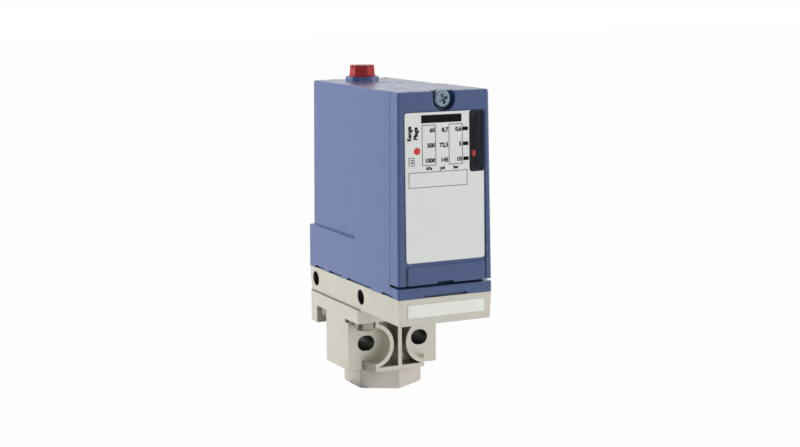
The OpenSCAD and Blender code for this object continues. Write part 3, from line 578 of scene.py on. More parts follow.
@dataclass(frozen=True)
class Finish:
    """A surface: two tones, how it shines, and the size and depth of its grain in mm."""

    name: str
    tone: str
    second_tone: str
    roughness: float = 0.4
    roughness_spread: float = 0.06
    metallic: float = 0.0
    ior: float = 1.5
    grain: float = 0.3
    grain_depth: float = 0.01
    grain_strength: float = 0.25
    patch: float = 9.0
    edge_round: float = 0.2
    # Paler tone on the edges: partly wear, partly a painted highlight.
    edge_wear_highlight_tone: str = ""
    edge_share: float = 0.0
    # Painted shade in pockets: reach in mm, how much darker, and the open share of sky that stays
    # untouched.
    pocket: float = 4.0
    painted_shade_share: float = 0.35
    painted_shade_rise: float = 0.42
    marks: tuple[Hairline | PaintedShadeBore, ...] = ()

    made: ClassVar[dict[str, bpy.types.Material]] = {}

    def pattern(self, tree: ShaderTree) -> Any:
        """Gives the height of the grain; finishes with a grain of their own replace this."""
        return tree.texture("Noise", self.grain, FINE_NOISE)

    def colour(self, tree: ShaderTree, grain: Any) -> Any:
        """Mixes the two tones in soft patches.

        Args:
            tree: The material's tree.
            grain: The grain's height socket.

        Returns:
            The colour socket.
        """
        noise = tree.texture("Noise", self.patch, SOFT_NOISE)
        patches = tree.out("ShaderNodeMapRange", (noise, *PATCH_SPAN))
        inputs = (patches, grain, GRAIN_DIP)
        share = tree.out("ShaderNodeMath", inputs, operation="MULTIPLY_ADD", use_clamp=True)
        inputs = {SHARE: share, FIRST: linear(self.tone), SECOND: linear(self.second_tone)}
        return tree.out("ShaderNodeMix", inputs, MIXED, data_type="RGBA")

    def shaded(self, tree: ShaderTree, colour: Any) -> Any:
        """Darkens the colour at its marks, and paints shade into pockets where less of the sky is
        open.

        Args:
            tree: The material's tree.
            colour: The colour socket so far.

        Returns:
            The new colour socket.
        """
        shares = [mark.kept(tree) for mark in self.marks]
        # Painted shade: the less of the sky a spot sees, the darker its colour.
        inputs = {"Distance": self.pocket * MM}
        sky = tree.out("ShaderNodeAmbientOcclusion", inputs, "AO", samples=SHADE_SAMPLES)
        inputs = (sky, SHADE_START, self.painted_shade_rise, 1 - self.painted_shade_share, 1.0)
        shares.append(tree.out("ShaderNodeMapRange", inputs, interpolation_type="SMOOTHSTEP"))
        settings = {"data_type": "RGBA", "blend_type": "MULTIPLY"}
        for share in shares:
            inputs = {SHARE: 1.0, FIRST: colour, SECOND: share}
            colour = tree.out("ShaderNodeMix", inputs, MIXED, **settings)
        return colour

    def wear_and_highlight(self, tree: ShaderTree, rounded: Any, colour: Any) -> Any:
        """Mixes the paler edge tone in where the rounded normal leaves the true one: wear and a
        painted highlight.

        Args:
            tree: The material's tree.
            rounded: The rounded normal's socket.
            colour: The colour socket so far.

        Returns:
            The new colour socket.
        """
        true = tree.out("ShaderNodeNewGeometry", output="True Normal")
        inputs = (rounded, true)
        same = tree.out("ShaderNodeVectorMath", inputs, "Value", operation="DOT_PRODUCT")
        edge = tree.out("ShaderNodeMapRange", (same, *EDGE_SPAN, 0.0, self.edge_share))
        inputs = {SHARE: edge, FIRST: colour, SECOND: linear(self.edge_wear_highlight_tone)}
        return tree.out("ShaderNodeMix", inputs, MIXED, data_type="RGBA")

    def last_touch(self, shader: Any) -> None:
        """Sets what only some finishes have on the shader."""

    def material(self) -> bpy.types.Material:
        """Builds the material once and gives it.

        Returns:
            The material, shared by every piece of this finish.
        """
        if self.name in Finish.made:
            return Finish.made[self.name]
        made = bpy.data.materials.new(self.name)
        tree = ShaderTree(made)
        grain = self.pattern(tree)
        colour = self.shaded(tree, self.colour(tree, grain))
        inputs = {"Radius": self.edge_round * MM}
        rounded = tree.out("ShaderNodeBevel", inputs, samples=EDGE_SAMPLES)
        # Edges turn paler: partly wear, partly a painted highlight.
        if self.edge_share:
            colour = self.wear_and_highlight(tree, rounded, colour)
        inputs = {"Strength": self.grain_strength, "Distance": self.grain_depth * MM}
        bump = tree.out("ShaderNodeBump", inputs | {"Height": grain, "Normal": rounded})
        patches = tree.texture("Noise", self.patch * GLOSS_PATCH, SOFT_NOISE)
        ends = (self.roughness - self.roughness_spread, self.roughness + self.roughness_spread)
        shader = tree.node(
            "ShaderNodeBsdfPrincipled",
            {
                "Base Color": colour,
                "Roughness": tree.out("ShaderNodeMapRange", (patches, *GLOSS_SPAN, *ends)),
                "Metallic": self.metallic,
                "IOR": self.ior,
                "Normal": bump,
            },
        )
        self.last_touch(shader)
        tree.node("ShaderNodeOutputMaterial", {0: shader.outputs[0]})
        Finish.made[self.name] = made
        return made

    def dress(self, piece: bpy.types.Object) -> None:
        """Gives a piece this material alone."""
        piece.data.materials.clear()
        piece.data.materials.append(self.material())


@dataclass(frozen=True)
class TurnedMetal(Finish):
    """Metal with fine rings round the part's axis, as a lathe leaves."""

    wobble: float = 0.6

    def pattern(self, tree: ShaderTree) -> Any:
        """Finds the height of the turning marks.

        Args:
            tree: The material's tree.

        Returns:
            The socket with rings round Z, two grains apart.
        """
        size, more = self.grain * RING_SCALE, {"Distortion": self.wobble}
        settings = {"wave_type": "RINGS", "rings_direction": "Z"}
        return tree.texture("Wave", size, more, "Fac", **settings)


@dataclass(frozen=True)
class BrushedMetal(Finish):
    """Sheet or plated metal with a grain drawn out along one direction."""

    stretch: Triple = (1.0, 1.0, 0.08)

    def pattern(self, tree: ShaderTree) -> Any:
        """Gives noise that is drawn out along the rolling direction."""
        drawn = tree.out("ShaderNodeMapping", {"Vector": tree.coords, "Scale": self.stretch})
        return tree.texture("Noise", self.grain, FINE_NOISE | {"Vector": drawn})


@dataclass(frozen=True)
class CastMetal(Finish):
    """Die-cast zinc: blasted grain over a slow swell, which is so many grains long."""

    swell: float = 6.0

    def pattern(self, tree: ShaderTree) -> Any:
        """Adds the pits of the blasted grain to the swell.

        Args:
            tree: The material's tree.

        Returns:
            The height socket.
        """
        pits = tree.texture("Voronoi", self.grain, feature="SMOOTH_F1")
        swell = tree.texture("Noise", self.grain * self.swell, FINE_NOISE)
        return tree.out("ShaderNodeMath", (pits, swell), operation="ADD")


@dataclass(frozen=True)
class FleckedPlastic(Finish):
    """Glass-filled thermoset with flecks of filler in it."""

    fleck_span: Pair = (0.28, 0.18)

    def colour(self, tree: ShaderTree, grain: Any) -> Any:
        """Scatters flecks of the second tone.

        Args:
            tree: The material's tree.
            grain: The grain's height socket, which the flecks don't follow.

        Returns:
            The colour socket.
        """
        cells = tree.texture("Voronoi", self.patch)
        flecks = tree.out("ShaderNodeMapRange", (cells, *self.fleck_span))
        inputs = {SHARE: flecks, FIRST: linear(self.tone), SECOND: linear(self.second_tone)}
        return tree.out("ShaderNodeMix", inputs, MIXED, data_type="RGBA")


@dataclass(frozen=True)
class LitPlastic(Finish):
    """Dark red moulding with a spot that glows with painted light, giving back more than it gets.
    """

    glow: float = 0.8
    spot: Box = Box((0.0, 0.0, 0.0), (1.0, 1.0, 1.0))
    bare_tone: str = "#4A1013"

    def colour(self, tree: ShaderTree, grain: Any) -> Any:
        """Keeps the two tones to the painted spot.

        Args:
            tree: The material's tree.
            grain: The grain's height socket.

        Returns:
            The colour socket.
        """
        painted, away = super().colour(tree, grain), self.spot.outside(tree)
        inputs = {SHARE: away, FIRST: painted, SECOND: linear(self.bare_tone)}
        return tree.out("ShaderNodeMix", inputs, MIXED, data_type="RGBA")

    def last_touch(self, shader: Any) -> None:
        """Adds painted light: the piece glows in its own colour.

        Args:
            shader: The shader.
        """
        source = shader.inputs["Base Color"].links[0].from_socket
        shader.id_data.links.new(source, shader.inputs["Emission Color"])
        # Painted light: the pointer glows though it is no lamp.
        shader.inputs["Emission Strength"].default_value = self.glow


@dataclass(frozen=True)
class ClearPlastic(Finish):
    """Polished acrylic, seen through as a dark pane."""

    alpha: float = 0.3

    def last_touch(self, shader: Any) -> None:
        """Lets light straight through most of it."""
        shader.inputs["Alpha"].default_value = self.alpha


# Injection-moulded polyamide: satin deep blue that turns pale where it is seen at a slant,
# with a dark hairline where the cover meets the housing.
BLUE_POLYAMIDE = Finish(
    "blue_moulded_polyamide", "#394F7F", "#3B5181", roughness=0.25, ior=1.6, grain=0.35,
    grain_depth=0.004, grain_strength=0.06, edge_round=0.45, edge_wear_highlight_tone="#7F90BC",
    edge_share=0.1, pocket=3.0, painted_shade_share=0.45, painted_shade_rise=0.6,
    marks=(Hairline(Across.DEPTH, -43.5, 0.34, 0.5),),
)
# Zinc die casting, glass-bead blasted: warm light grey, even and soft, darker in its pits, with
# painted shade, nearly black, down the two fixing holes across the plate.
ZINC_CASTING = CastMetal(
    "blasted_zinc_casting", "#C9C5BA", "#C4C0B5", roughness=0.42, metallic=0.85, grain=0.28,
    grain_depth=0.015, grain_strength=0.22, edge_wear_highlight_tone="#D2CFC7", edge_share=0.4,
    pocket=7.0, painted_shade_share=0.3, painted_shade_rise=0.4,
    marks=tuple(PaintedShadeBore((0.0, y, 35.7), (16.6, 2.75, 2.75)) for y in (-19.2, 20.1)),
)
# The same casting below the plate: painted shade down its two slots, painted shadow under the
# joint.
ZINC_BODY = replace(
    ZINC_CASTING,
    name="blasted_zinc_body",
    marks=(
        *(PaintedShadeBore((x, 0.85, 16.6), (3.3, 9.65, 2.8)) for x in (-10.5, 10.5)),
        # Painted shadow under the plate's edge.
        Hairline(Across.HEIGHT, 30.8, 0.4, 0.3),
    ),
)
# Drawn hexagon bar of free-cutting steel: a faintly pink grey with fine lines along the bar.
DRAWN_STEEL = BrushedMetal(
    "drawn_steel_hexagon", "#BFB8B2", "#BBB4AE", roughness=0.5, metallic=0.85, grain=0.14,
    grain_depth=0.004, grain_strength=0.15, stretch=(1.0, 1.0, 0.06), edge_wear_highlight_tone="#C2BCB5",
    edge_share=0.4,
)
# Zinc-plated steel, blue passivated: cool and bright, a little cloudy.
PLATED_STEEL = BrushedMetal(
    "blue_passivated_steel", "#C9D3DE", "#B4C1CF", roughness=0.3, metallic=1.0, grain=0.12,
    grain_depth=0.004, patch=1.6, edge_round=0.12, edge_wear_highlight_tone="#EEF3F8", edge_share=0.5,
)
# The cover screw: zinc plate darker than the other plated steel, blue-grey and cloudy, with
# painted shade in its recess.
DARKER_ZINC_PLATE = BrushedMetal(
    "darker_zinc_plate", "#8592A1", "#6A7684", roughness=0.36, metallic=1.0, grain=0.15,
    grain_depth=0.006, patch=0.7, edge_round=0.15, edge_wear_highlight_tone="#A7B3BF", edge_share=0.5,
    pocket=1.3, painted_shade_share=0.93,
)
# Plain alloy steel with a thin oil film: warm mid grey.
PLAIN_STEEL = BrushedMetal(
    "oiled_alloy_steel", "#9A978E", "#8F8C84", roughness=0.38, metallic=1.0, grain=0.12,
    grain_depth=0.004, patch=1.6, edge_round=0.12, edge_wear_highlight_tone="#D8D5CC", edge_share=0.5,
)
# Rolled and zinc-plated sheet steel: drawn grain, cool grey.
SHEET_STEEL = BrushedMetal(
    "rolled_plated_sheet", "#BFC3C6", "#AEB3B7", roughness=0.34, metallic=1.0, grain=0.2,
    grain_depth=0.005, patch=4.0, stretch=(1.0, 0.06, 1.0),
)
# Patented spring wire: dark and oiled.
SPRING_WIRE = Finish(
    "oiled_spring_wire", "#5A5C60", "#48494D", roughness=0.3, metallic=1.0, grain=0.15,
    grain_depth=0.003, patch=2.0, edge_round=0.1,
)
# Machined brass: warm yellow with turning marks.
MACHINED_BRASS = TurnedMetal(
    "machined_brass", "#D9B866", "#C7A552", roughness=0.28, metallic=1.0, grain=0.25,
    grain_depth=0.004, patch=3.0,
)
# Stamped contact brass, tarnished in patches.
CONTACT_BRASS = BrushedMetal(
    "stamped_contact_brass", "#DDC07A", "#B8965A", roughness=0.32, metallic=1.0, grain=0.15,
    grain_depth=0.003, patch=2.2, stretch=(1.0, 0.08, 1.0),
)
# The pointer: a dark red moulding whose tip glows with painted light and shows through the smoked
# window.
POINTER_RED = LitPlastic(
    "red_moulding_painted_glow", "#F24A4E", "#EC464A", roughness=0.35, grain=0.4,
    grain_depth=0.004, patch=2.0, edge_round=0.05, painted_shade_share=0.1, glow=0.9,
    spot=Box((12.55, -46.6, 86.6), (0.55, 0.15, 1.0)),
)
# Acetal-like red moulding: clean, slightly glossy, a deep warm red.
RED_MOULDING = Finish(
    "red_moulded_acetal", "#A2171A", "#991417", roughness=0.2, ior=1.32, grain=0.5,
    grain_depth=0.006, patch=4.0, edge_round=0.15, edge_wear_highlight_tone="#E8554B", edge_share=0.5,
)
# Natural acetal: milky white and waxy.
WHITE_ACETAL = Finish(
    "natural_acetal", "#ECEAE2", "#E2DFD6", roughness=0.35, grain=0.4, grain_depth=0.006,
    patch=3.0,
)
# Black polyamide: fine spark-eroded texture.
BLACK_MOULDING = Finish(
    "black_moulded_polyamide", "#1C1C1D", "#232324", roughness=0.45, grain=0.2,
    grain_depth=0.012, patch=3.0,
)
# Nitrile rubber: dull black with a bloom.
NITRILE = Finish(
    "nitrile_rubber", "#232323", "#2E2D2B", roughness=0.72, grain=0.3, grain_depth=0.02,
    patch=3.0, edge_round=0.15,
)
# Glass-filled thermoset: cream with paler flecks.
CREAM_THERMOSET = FleckedPlastic(
    "cream_glass_filled_thermoset", "#D8CFB6", "#EAE3CE", roughness=0.48, grain=0.3,
    grain_depth=0.015, patch=0.6,
)
# Matt polyester film, silver-white, with the faint tooth that takes the print.
LABEL_FILM = Finish(
    "matt_silver_white_film", "#E6E8E6", "#E2E4E3", roughness=0.5, grain=0.14,
    grain_depth=0.004, patch=7.0, edge_round=0.05,
)
# Paper-faced sticker: plain white and flat.
WHITE_STICKER = Finish(
    "white_paper_sticker", "#F2F2EE", "#EEEEEA", roughness=0.6, grain=0.18,
    grain_depth=0.006, patch=5.0, edge_round=0.05,
)
# Screen-printed black ink: thin, even and a little shiny.
BLACK_INK = Finish(
    "black_screen_ink", "#09090A", "#0C0C0E", roughness=0.5, ior=1.2, grain=0.1,
    grain_depth=0.002, patch=1.5, edge_round=0.02,
)
# Screen-printed red ink, one pass over the film.
RED_INK = Finish(
    "red_screen_ink", "#D4333B", "#CB2C35", roughness=0.42, grain=0.1, grain_depth=0.002,
    patch=1.0, edge_round=0.02,
)
# Polished smoked acrylic: nearly black, with a clear mirror of the room.
SMOKED_ACRYLIC = ClearPlastic(
    "polished_smoked_acrylic", "#141414", "#181818", roughness=0.09, roughness_spread=0.02,
    ior=1.49, grain=2.0, grain_depth=0.002, patch=6.0, edge_round=0.08,
)

NODE_FINISH: dict[str, Finish] = {
    "port_seal": NITRILE, "diaphragm": NITRILE, "spindle_seal": NITRILE,
    "base_gasket": NITRILE, "cover_gasket": NITRILE, "piston": PLATED_STEEL,
    "pressure_body": ZINC_BODY, "id_plate": WHITE_STICKER, "housing": BLUE_POLYAMIDE,
    "front_cover": BLUE_POLYAMIDE, "screw_retainer": WHITE_ACETAL, "label_plate": LABEL_FILM,
    "indicator_window": SMOKED_ACRYLIC, "pointer_backplate": BLACK_MOULDING,
    "range_pointer": POINTER_RED, "pointer_arm": SHEET_STEEL, "range_nut": MACHINED_BRASS,
    "range_cap": RED_MOULDING, "range_spindle": PLATED_STEEL, "range_spring": SPRING_WIRE,
    "spring_seat": PLATED_STEEL, "mechanism_frame": SHEET_STEEL, "rocker_lever": SHEET_STEEL,
    "lever_pin": PLATED_STEEL, "contact_block": CREAM_THERMOSET,
    "contact_plunger": RED_MOULDING, "plunger_spring": SPRING_WIRE,
    "contact_bridge": CONTACT_BRASS, "terminals": CONTACT_BRASS,
    "terminal_clamps": PLATED_STEEL, "earth_washer": PLATED_STEEL,
}


# ---- Studio ----


@dataclass(frozen=True)
class Lamp:
    """A soft round lamp; its fill, in the same place, lights but leaves no glare."""

    name: str
    place: Triple
    size: float
    watts: float
    fill_watts: float = 0.0


@dataclass
class Studio:
    """Pale floor, white surround and soft lamps."""

    floor_size: float = 6.0
    floor_tone: str = "#EDEDEC"
    floor_glow: float = 0.97
    ambient: float = 0.38
    gap_way: Triple = (-0.975, -0.22, 0.0)
    gap_span: Pair = (0.8, 0.96)
    gap_light: float = 0.12
    aim: Triple = (0.0, -0.01, 0.06)
    lamps: tuple[Lamp, ...] = (
        Lamp("key_left", (-0.9, 0.42, 0.26), 0.8, 4.4, 10.8),
        Lamp("front_right", (1.0, -0.5, 0.3), 0.7, 3.6, 6.8),
        Lamp("back_top", (0.35, 0.75, 0.9), 0.6, 0.8),
    )

    def darkened(self, tree: ShaderTree, shader: Any, dim: Any) -> Any:
        """Puts the dark gap between the lamps over a shader, for glossy rays alone.

        Args:
            tree: The shader's tree, whose coordinates give a way from the switch.
            shader: The shader's socket.
            dim: What shows in the gap.

        Returns:
            The new shader socket.
        """
        kind = "ShaderNodeVectorMath"
        flat = tree.out(kind, (tree.coords, (1, 1, 0)), operation="MULTIPLY")
        way = tree.out(kind, (flat,), operation="NORMALIZE")
        near = tree.out(kind, (way, self.gap_way), "Value", operation="DOT_PRODUCT")
        inputs = (near, *self.gap_span)
        dark = tree.out("ShaderNodeMapRange", inputs, interpolation_type="SMOOTHSTEP")
        glossy = tree.out("ShaderNodeLightPath", output="Is Glossy Ray")
        share = tree.out("ShaderNodeMath", (dark, glossy), operation="MULTIPLY")
        return tree.out("ShaderNodeMixShader", (share, shader, dim))

    def seen_rays(self, tree: ShaderTree) -> Any:
        """Tells the rays that see the white background from those that only light.

        Args:
            tree: The shader's tree.

        Returns:
            A socket with one for camera, glossy and transmitted rays, else zero.
        """
        path = tree.node("ShaderNodeLightPath").outputs
        seen = path["Is Camera Ray"]
        for kind in ("Is Glossy Ray", "Is Transmission Ray"):
            seen = tree.out("ShaderNodeMath", (seen, path[kind]), operation="MAXIMUM")
        return seen

    def build_world(self) -> None:
        """Makes the white surround."""
        world = bpy.data.worlds.new("white_surround")
        tree, kind = ShaderTree(world, "Generated"), "ShaderNodeBackground"
        strengths = (self.ambient, 1.0, self.gap_light)
        light, seen, dim = (tree.out(kind, (WHITE, strength)) for strength in strengths)
        both = tree.out("ShaderNodeMixShader", (self.seen_rays(tree), light, seen))
        tree.node("ShaderNodeOutputWorld", {0: self.darkened(tree, both, dim)})
        bpy.context.scene.world = world

    def build_floor(self) -> None:
        """Makes the floor, which glows a little and keeps the shadow."""
        shape = bmesh.new()
        bmesh.ops.create_grid(shape, x_segments=1, y_segments=1, size=self.floor_size / 2)
        floor = new_object("floor", mesh_from("floor", shape))
        made = bpy.data.materials.new("pale_floor")
        tree, kind = ShaderTree(made), "ShaderNodeEmission"
        matt = tree.out("ShaderNodeBsdfDiffuse", (linear(self.floor_tone),))
        glow, dim = (tree.out(kind, (WHITE, v)) for v in (1.0, self.gap_light))
        inputs = (self.seen_rays(tree), self.floor_glow)
        share = tree.out("ShaderNodeMath", inputs, operation="MULTIPLY")
        both = tree.out("ShaderNodeMixShader", (share, matt, glow))
        tree.node("ShaderNodeOutputMaterial", {0: self.darkened(tree, both, dim)})
        floor.data.materials.append(made)
        floor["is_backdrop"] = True

    def hang(self, lamp: Lamp, name: str, watts: float, seen: bool) -> None:
        """Hangs one light in a lamp's place, aimed at the switch.

        Args:
            lamp: The lamp.
            name: The light's name.
            watts: Its power.
            seen: Whether shiny surfaces mirror it.
        """
        data = bpy.data.lights.new(name, "AREA")
        data.shape = "DISK"
        data.size = lamp.size
        data.energy = watts
        made = new_object(name, data)
        made.visible_glossy = seen
        turn = (Vector(self.aim) - Vector(lamp.place)).to_track_quat("-Z", "Y")
        made.matrix_world = Matrix.Translation(lamp.place) @ turn.to_matrix().to_4x4()

    def build(self) -> None:
        """Makes the whole studio."""
        self.build_world()
        self.build_floor()
        for lamp in self.lamps:
            self.hang(lamp, lamp.name, lamp.watts, True)
            if lamp.fill_watts:
                self.hang(lamp, f"{lamp.name}_fill", lamp.fill_watts, False)
        bpy.context.scene.view_settings.view_transform = "Standard"
        LOG.info("studio: floor, surround and %d lamps", len(self.lamps))


# ---- Screws ----


@dataclass(frozen=True)
class ScrewSet:
    """Every screw of one CAD node, with sizes in millimetres."""

    node: str
    body: str
    axis: Axis
    recess: Recess
    head_height: float
    shank_radius: float
    pitch: float
    seed: int
    finish: Finish = PLATED_STEEL


@dataclass
class Fasteners:
    """All screws, each made by one Geometry Nodes tree from its CAD node's boxes."""

    sets: tuple[ScrewSet, ...] = (
        ScrewSet(
            "cover_screw", "cover_fastener", Axis.BACK, Recess.CROSS, 2.1, 1.75, 0.7, 3,
            DARKER_ZINC_PLATE,
        ),
        ScrewSet(
            "flange_screws", "switch", Axis.UP, Recess.SOCKET, 2.9, 2.0, 0.7, 5, PLAIN_STEEL
        ),
        ScrewSet("base_screws", "switch", Axis.UP, Recess.CROSS, 2.2, 1.5, 0.5, 7),
        ScrewSet("frame_screws", "switch", Axis.DOWN, Recess.CROSS, 2.2, 1.5, 0.5, 11),
        ScrewSet("terminal_screws", "switch", Axis.BACK, Recess.CROSS, 2.0, 1.75, 0.6, 13),
        ScrewSet("block_screws", "switch", Axis.BACK, Recess.CROSS, 2.2, 1.5, 0.5, 17),
        ScrewSet("earth_screw", "switch", Axis.DOWN, Recess.CROSS, 2.2, 1.5, 0.5, 19),
    )
    sides: int = 48
    thread_sides: int = 28
    edge_share: float = 0.16
    recess_depth: float = 0.55
    core_share: float = 0.86
    ridge_share: float = 0.34

    def tree(self) -> GeometryTree:
        """Builds the tree: head with a broken edge, recess, core and helical thread.

        Returns:
            The tree, whose inputs are the sizes in metres.
        """
        made = GeometryTree(
            "screws_on_points",
            {
                "Head Radius": 0.003,
                "Head Height": 0.002,
                "Shank Radius": 0.0015,
                "Shank Length": 0.008,
                "Pitch": 0.0005,
                "Arm": 0.003,
                "Slot": 0.0008,
                "Aim": (0.0, 0.0, 0.0),
                "Seed": 1,
                "Metal": None,
            },
        )
        screw = made.node("GeometryNodeJoinGeometry")
        for part in (self.head(made), *self.shank(made)):
            made.tree.links.new(part, screw.inputs[0])
        aim = made.out("FunctionNodeEulerToRotation", {0: made.value("Aim")})
        inputs = {"Points": made.value("Geometry"), "Instance": screw.outputs[0]}
        spread = made.out("GeometryNodeInstanceOnPoints", inputs | {"Rotation": aim})
        inputs = {"Seed": made.value("Seed"), 2: 0.0, 3: math.pi}
        chance = made.out("FunctionNodeRandomValue", inputs, 1, data_type="FLOAT")
        turn = made.out("ShaderNodeCombineXYZ", {"Z": chance})
        turn = made.out("FunctionNodeEulerToRotation", (turn,))
        inputs = {"Instances": spread, "Rotation": turn, "Local Space": True}
        turned = made.out("GeometryNodeRotateInstances", inputs)
        made.close(turned, made.value("Metal"))
        return made

    def head(self, made: GeometryTree) -> Any:
        """Adds the head, below the origin, with its broken edge and its recess.

        Args:
            made: The tree.

        Returns:
            The socket with the head.
        """
        radius, height = made.value("Head Radius"), made.value("Head Height")
        kind = "ShaderNodeMath"
        edge = made.out(kind, (radius, self.edge_share), operation="MULTIPLY")
        straight, face = (
            made.out(kind, (whole, edge), operation="SUBTRACT") for whole in (height, radius)
        )
        inputs = {"Vertices": self.sides, "Radius Top": radius, "Radius Bottom": face}
        crown = made.out("GeometryNodeMeshCone", inputs | {"Depth": edge}, "Mesh")
        middle, down = (
            made.out(kind, (straight, share), operation="MULTIPLY") for share in (-0.5, -1.0)
        )
        foot = made.out(kind, (down, edge), operation="SUBTRACT")
        foot = made.out("ShaderNodeCombineXYZ", {"Z": foot})
        inputs = {"Geometry": crown, "Translation": foot}
        rim = made.out("GeometryNodeTransform", inputs)
        solid = made.node("GeometryNodeMeshBoolean", operation="UNION", solver="EXACT")
        for part in (self.bar(made, radius, straight, middle), rim):
            made.tree.links.new(part, solid.inputs["Mesh 2"])
        inputs = {"Mesh 1": solid.outputs[0]}
        cut = made.node("GeometryNodeMeshBoolean", inputs, operation="DIFFERENCE", solver="EXACT")
        arm, slot = made.value("Arm"), made.value("Slot")
        deep, below = (
            made.out(kind, (height, share), operation="MULTIPLY")
            for share in (2 * self.recess_depth, -1.0)
        )
        place = made.out("ShaderNodeCombineXYZ", {"Z": below})
        for wide, narrow in ((arm, slot), (slot, arm)):
            size = made.out("ShaderNodeCombineXYZ", (wide, narrow, deep))
            cube = made.out("GeometryNodeMeshCube", {"Size": size})
            inputs = {"Geometry": cube, "Translation": place}
            tool = made.out("GeometryNodeTransform", inputs)
            made.tree.links.new(tool, cut.inputs["Mesh 2"])
        return cut.outputs[0]

    def shank(self, made: GeometryTree) -> tuple[Any, Any]:
        """Adds the core, above the origin, and the thread round it.

        Args:
            made: The tree.

        Returns:
            The sockets with the core and the thread.
        """
        radius, pitch = made.value("Shank Radius"), made.value("Pitch")
        length = made.value("Shank Length")
        core, ridge, middle = (
            made.out("ShaderNodeMath", inputs, operation="MULTIPLY")
            for inputs in ((radius, self.core_share), (pitch, self.ridge_share), (length, 0.5))
        )
        inner, run = (
            made.out("ShaderNodeMath", inputs, operation="SUBTRACT")
            for inputs in ((radius, ridge), (length, pitch))
        )
        thread = made.helix(inner, pitch, run, ridge, self.thread_sides)
        return self.bar(made, core, length, middle), thread

    def bar(self, made: GeometryTree, radius: Any, length: Any, middle: Any) -> Any:
        """Adds an upright round bar.

        Args:
            made: The tree.
            radius: The bar's radius.
            length: Its length.
            middle: The height of its middle.

        Returns:
            The socket with the bar.
        """
        inputs = {"Vertices": self.sides, "Radius": radius, "Depth": length}
        bar = made.out("GeometryNodeMeshCylinder", inputs)
        place = made.out("ShaderNodeCombineXYZ", {"Z": middle})
        return made.out("GeometryNodeTransform", {"Geometry": bar, "Translation": place})

    def build_set(self, tree: GeometryTree, screws: ScrewSet) -> bpy.types.Object:
        """Builds every screw of one CAD node as one piece.

        Args:
            tree: The screw tree.
            screws: Which screws, and their sizes.

        Returns:
            The piece, which replaces its CAD node.
        """
        boxes = islands(screws.node)
        along = 1 if screws.axis is Axis.BACK else 2
        head = screws.head_height * MM
        shape = bmesh.new()
        for low, high in boxes:
            seat = (low + high) / 2
            seat[along] = high[along] - head if screws.axis is Axis.DOWN else low[along] + head
            shape.verts.new(seat)
        low, high = boxes[0]
        head_radius = (high.x - low.x) / 2
        arm, slot = screws.recess.value
        made = tree.run(
            screws.node,
            mesh_from(f"{screws.node}_seats", shape),
            {
                "Head Radius": head_radius,
                "Head Height": head,
                "Shank Radius": screws.shank_radius * MM,
                "Shank Length": high[along] - low[along] - head,
                "Pitch": screws.pitch * MM,
                "Arm": head_radius * arm,
                "Slot": head_radius * slot,
                "Aim": screws.axis.value,
                "Seed": screws.seed,
                "Metal": screws.finish.material(),
            },
        )
        smooth_by_angle(made)
        piece = new_object(f"threaded_{screws.node}", made)
        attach(piece, screws.body)
        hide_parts(screws.node)
        return piece

    def build(self) -> None:
        """Builds every set."""
        tree = self.tree()
        for screws in self.sets:
            report(self.build_set(tree, screws))


# ---- Tapped holes ----


@dataclass(frozen=True)
class TappedHole:
    """A threaded hole of a CAD node, whose wall is at the thread's core diameter.

    The groove starts some turns below the node and runs some turns past the mount's length.
    """

    node: str
    mount: str
    pitch: float
    depth: float
    turns_past: float
    slot: str
    finish: Finish
    turns_below: float = 0.8


@dataclass
class TappedParts:
    """The port fitting and the base plate, with real thread grooves cut in their holes."""

    holes: tuple[TappedHole, ...] = (
        TappedHole(
            "port_fitting", "pressure_port", 1.337, 0.6, 0.2, "fitting_metal", DRAWN_STEEL
        ),
        TappedHole("base_plate", "cable_entry", 1.5, 0.62, 1.6, "die_cast_zinc", ZINC_CASTING),
    )
    sides: int = 40

    def cutter_tree(self, finish: Finish) -> GeometryTree:
        """Builds the helical groove's tool.

        Args:
            finish: What the cut surface is dressed in.

        Returns:
            The tree.
        """
        made = GeometryTree(
            "thread_groove",
            {
                "Radius": 0.006,
                "Pitch": 0.0013,
                "Depth": 0.0006,
                "Length": 0.01,
                "Start": (0.0, 0.0, 0.0),
            },
        )
        radius, pitch, run, tooth = map(made.value, ("Radius", "Pitch", "Length", "Depth"))
        ridge = made.helix(radius, pitch, run, tooth, self.sides)
        inputs = {"Geometry": ridge, "Translation": made.value("Start")}
        made.close(made.out("GeometryNodeTransform", inputs), finish.material())
        return made

    def build(self) -> None:
        """Cuts each hole's thread in a copy of its CAD node."""
        for hole in self.holes:
            mount, pitch = MOUNTS[hole.mount], hole.pitch * MM
            place, length = Vector(mount["pos_m"]), mount["dims"]["length_mm"] * MM
            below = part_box(hole.node)[0].z - pitch * hole.turns_below
            groove = self.cutter_tree(hole.finish).run(
                f"{hole.mount}_groove",
                bpy.data.meshes.new(f"{hole.mount}_start"),
                {
                    "Radius": mount["dims"]["r_mm"] * MM,
                    "Pitch": pitch,
                    "Depth": hole.depth * MM,
                    "Length": length + pitch * hole.turns_past,
                    "Start": Vector((place.x, place.y, below)),
                },
            )
            tool = new_object(f"{hole.mount}_tool", groove)
            blank = new_object(f"{hole.node}_blank", merged_copy(hole.node))
            cut = blank.modifiers.new("thread", "BOOLEAN")
            cut.operation, cut.solver, cut.object = "DIFFERENCE", "EXACT", tool
            mesh = baked_mesh(blank, f"tapped_{hole.node}")
            bpy.data.objects.remove(tool)
            smooth_by_angle(mesh)
            piece = new_object(f"tapped_{hole.node}", mesh)
            hole.finish.dress(piece)
            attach(piece, "switch")
            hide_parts(hole.node)
            report(piece)


# ---- Print on the label ----


@dataclass(frozen=True)
class Column:
    """A column of scale figures: point of its middle, figures, unit, and how far it is moved."""

    point: str
    figures: tuple[str, str, str]
    unit: str
    shift: float = 0.0


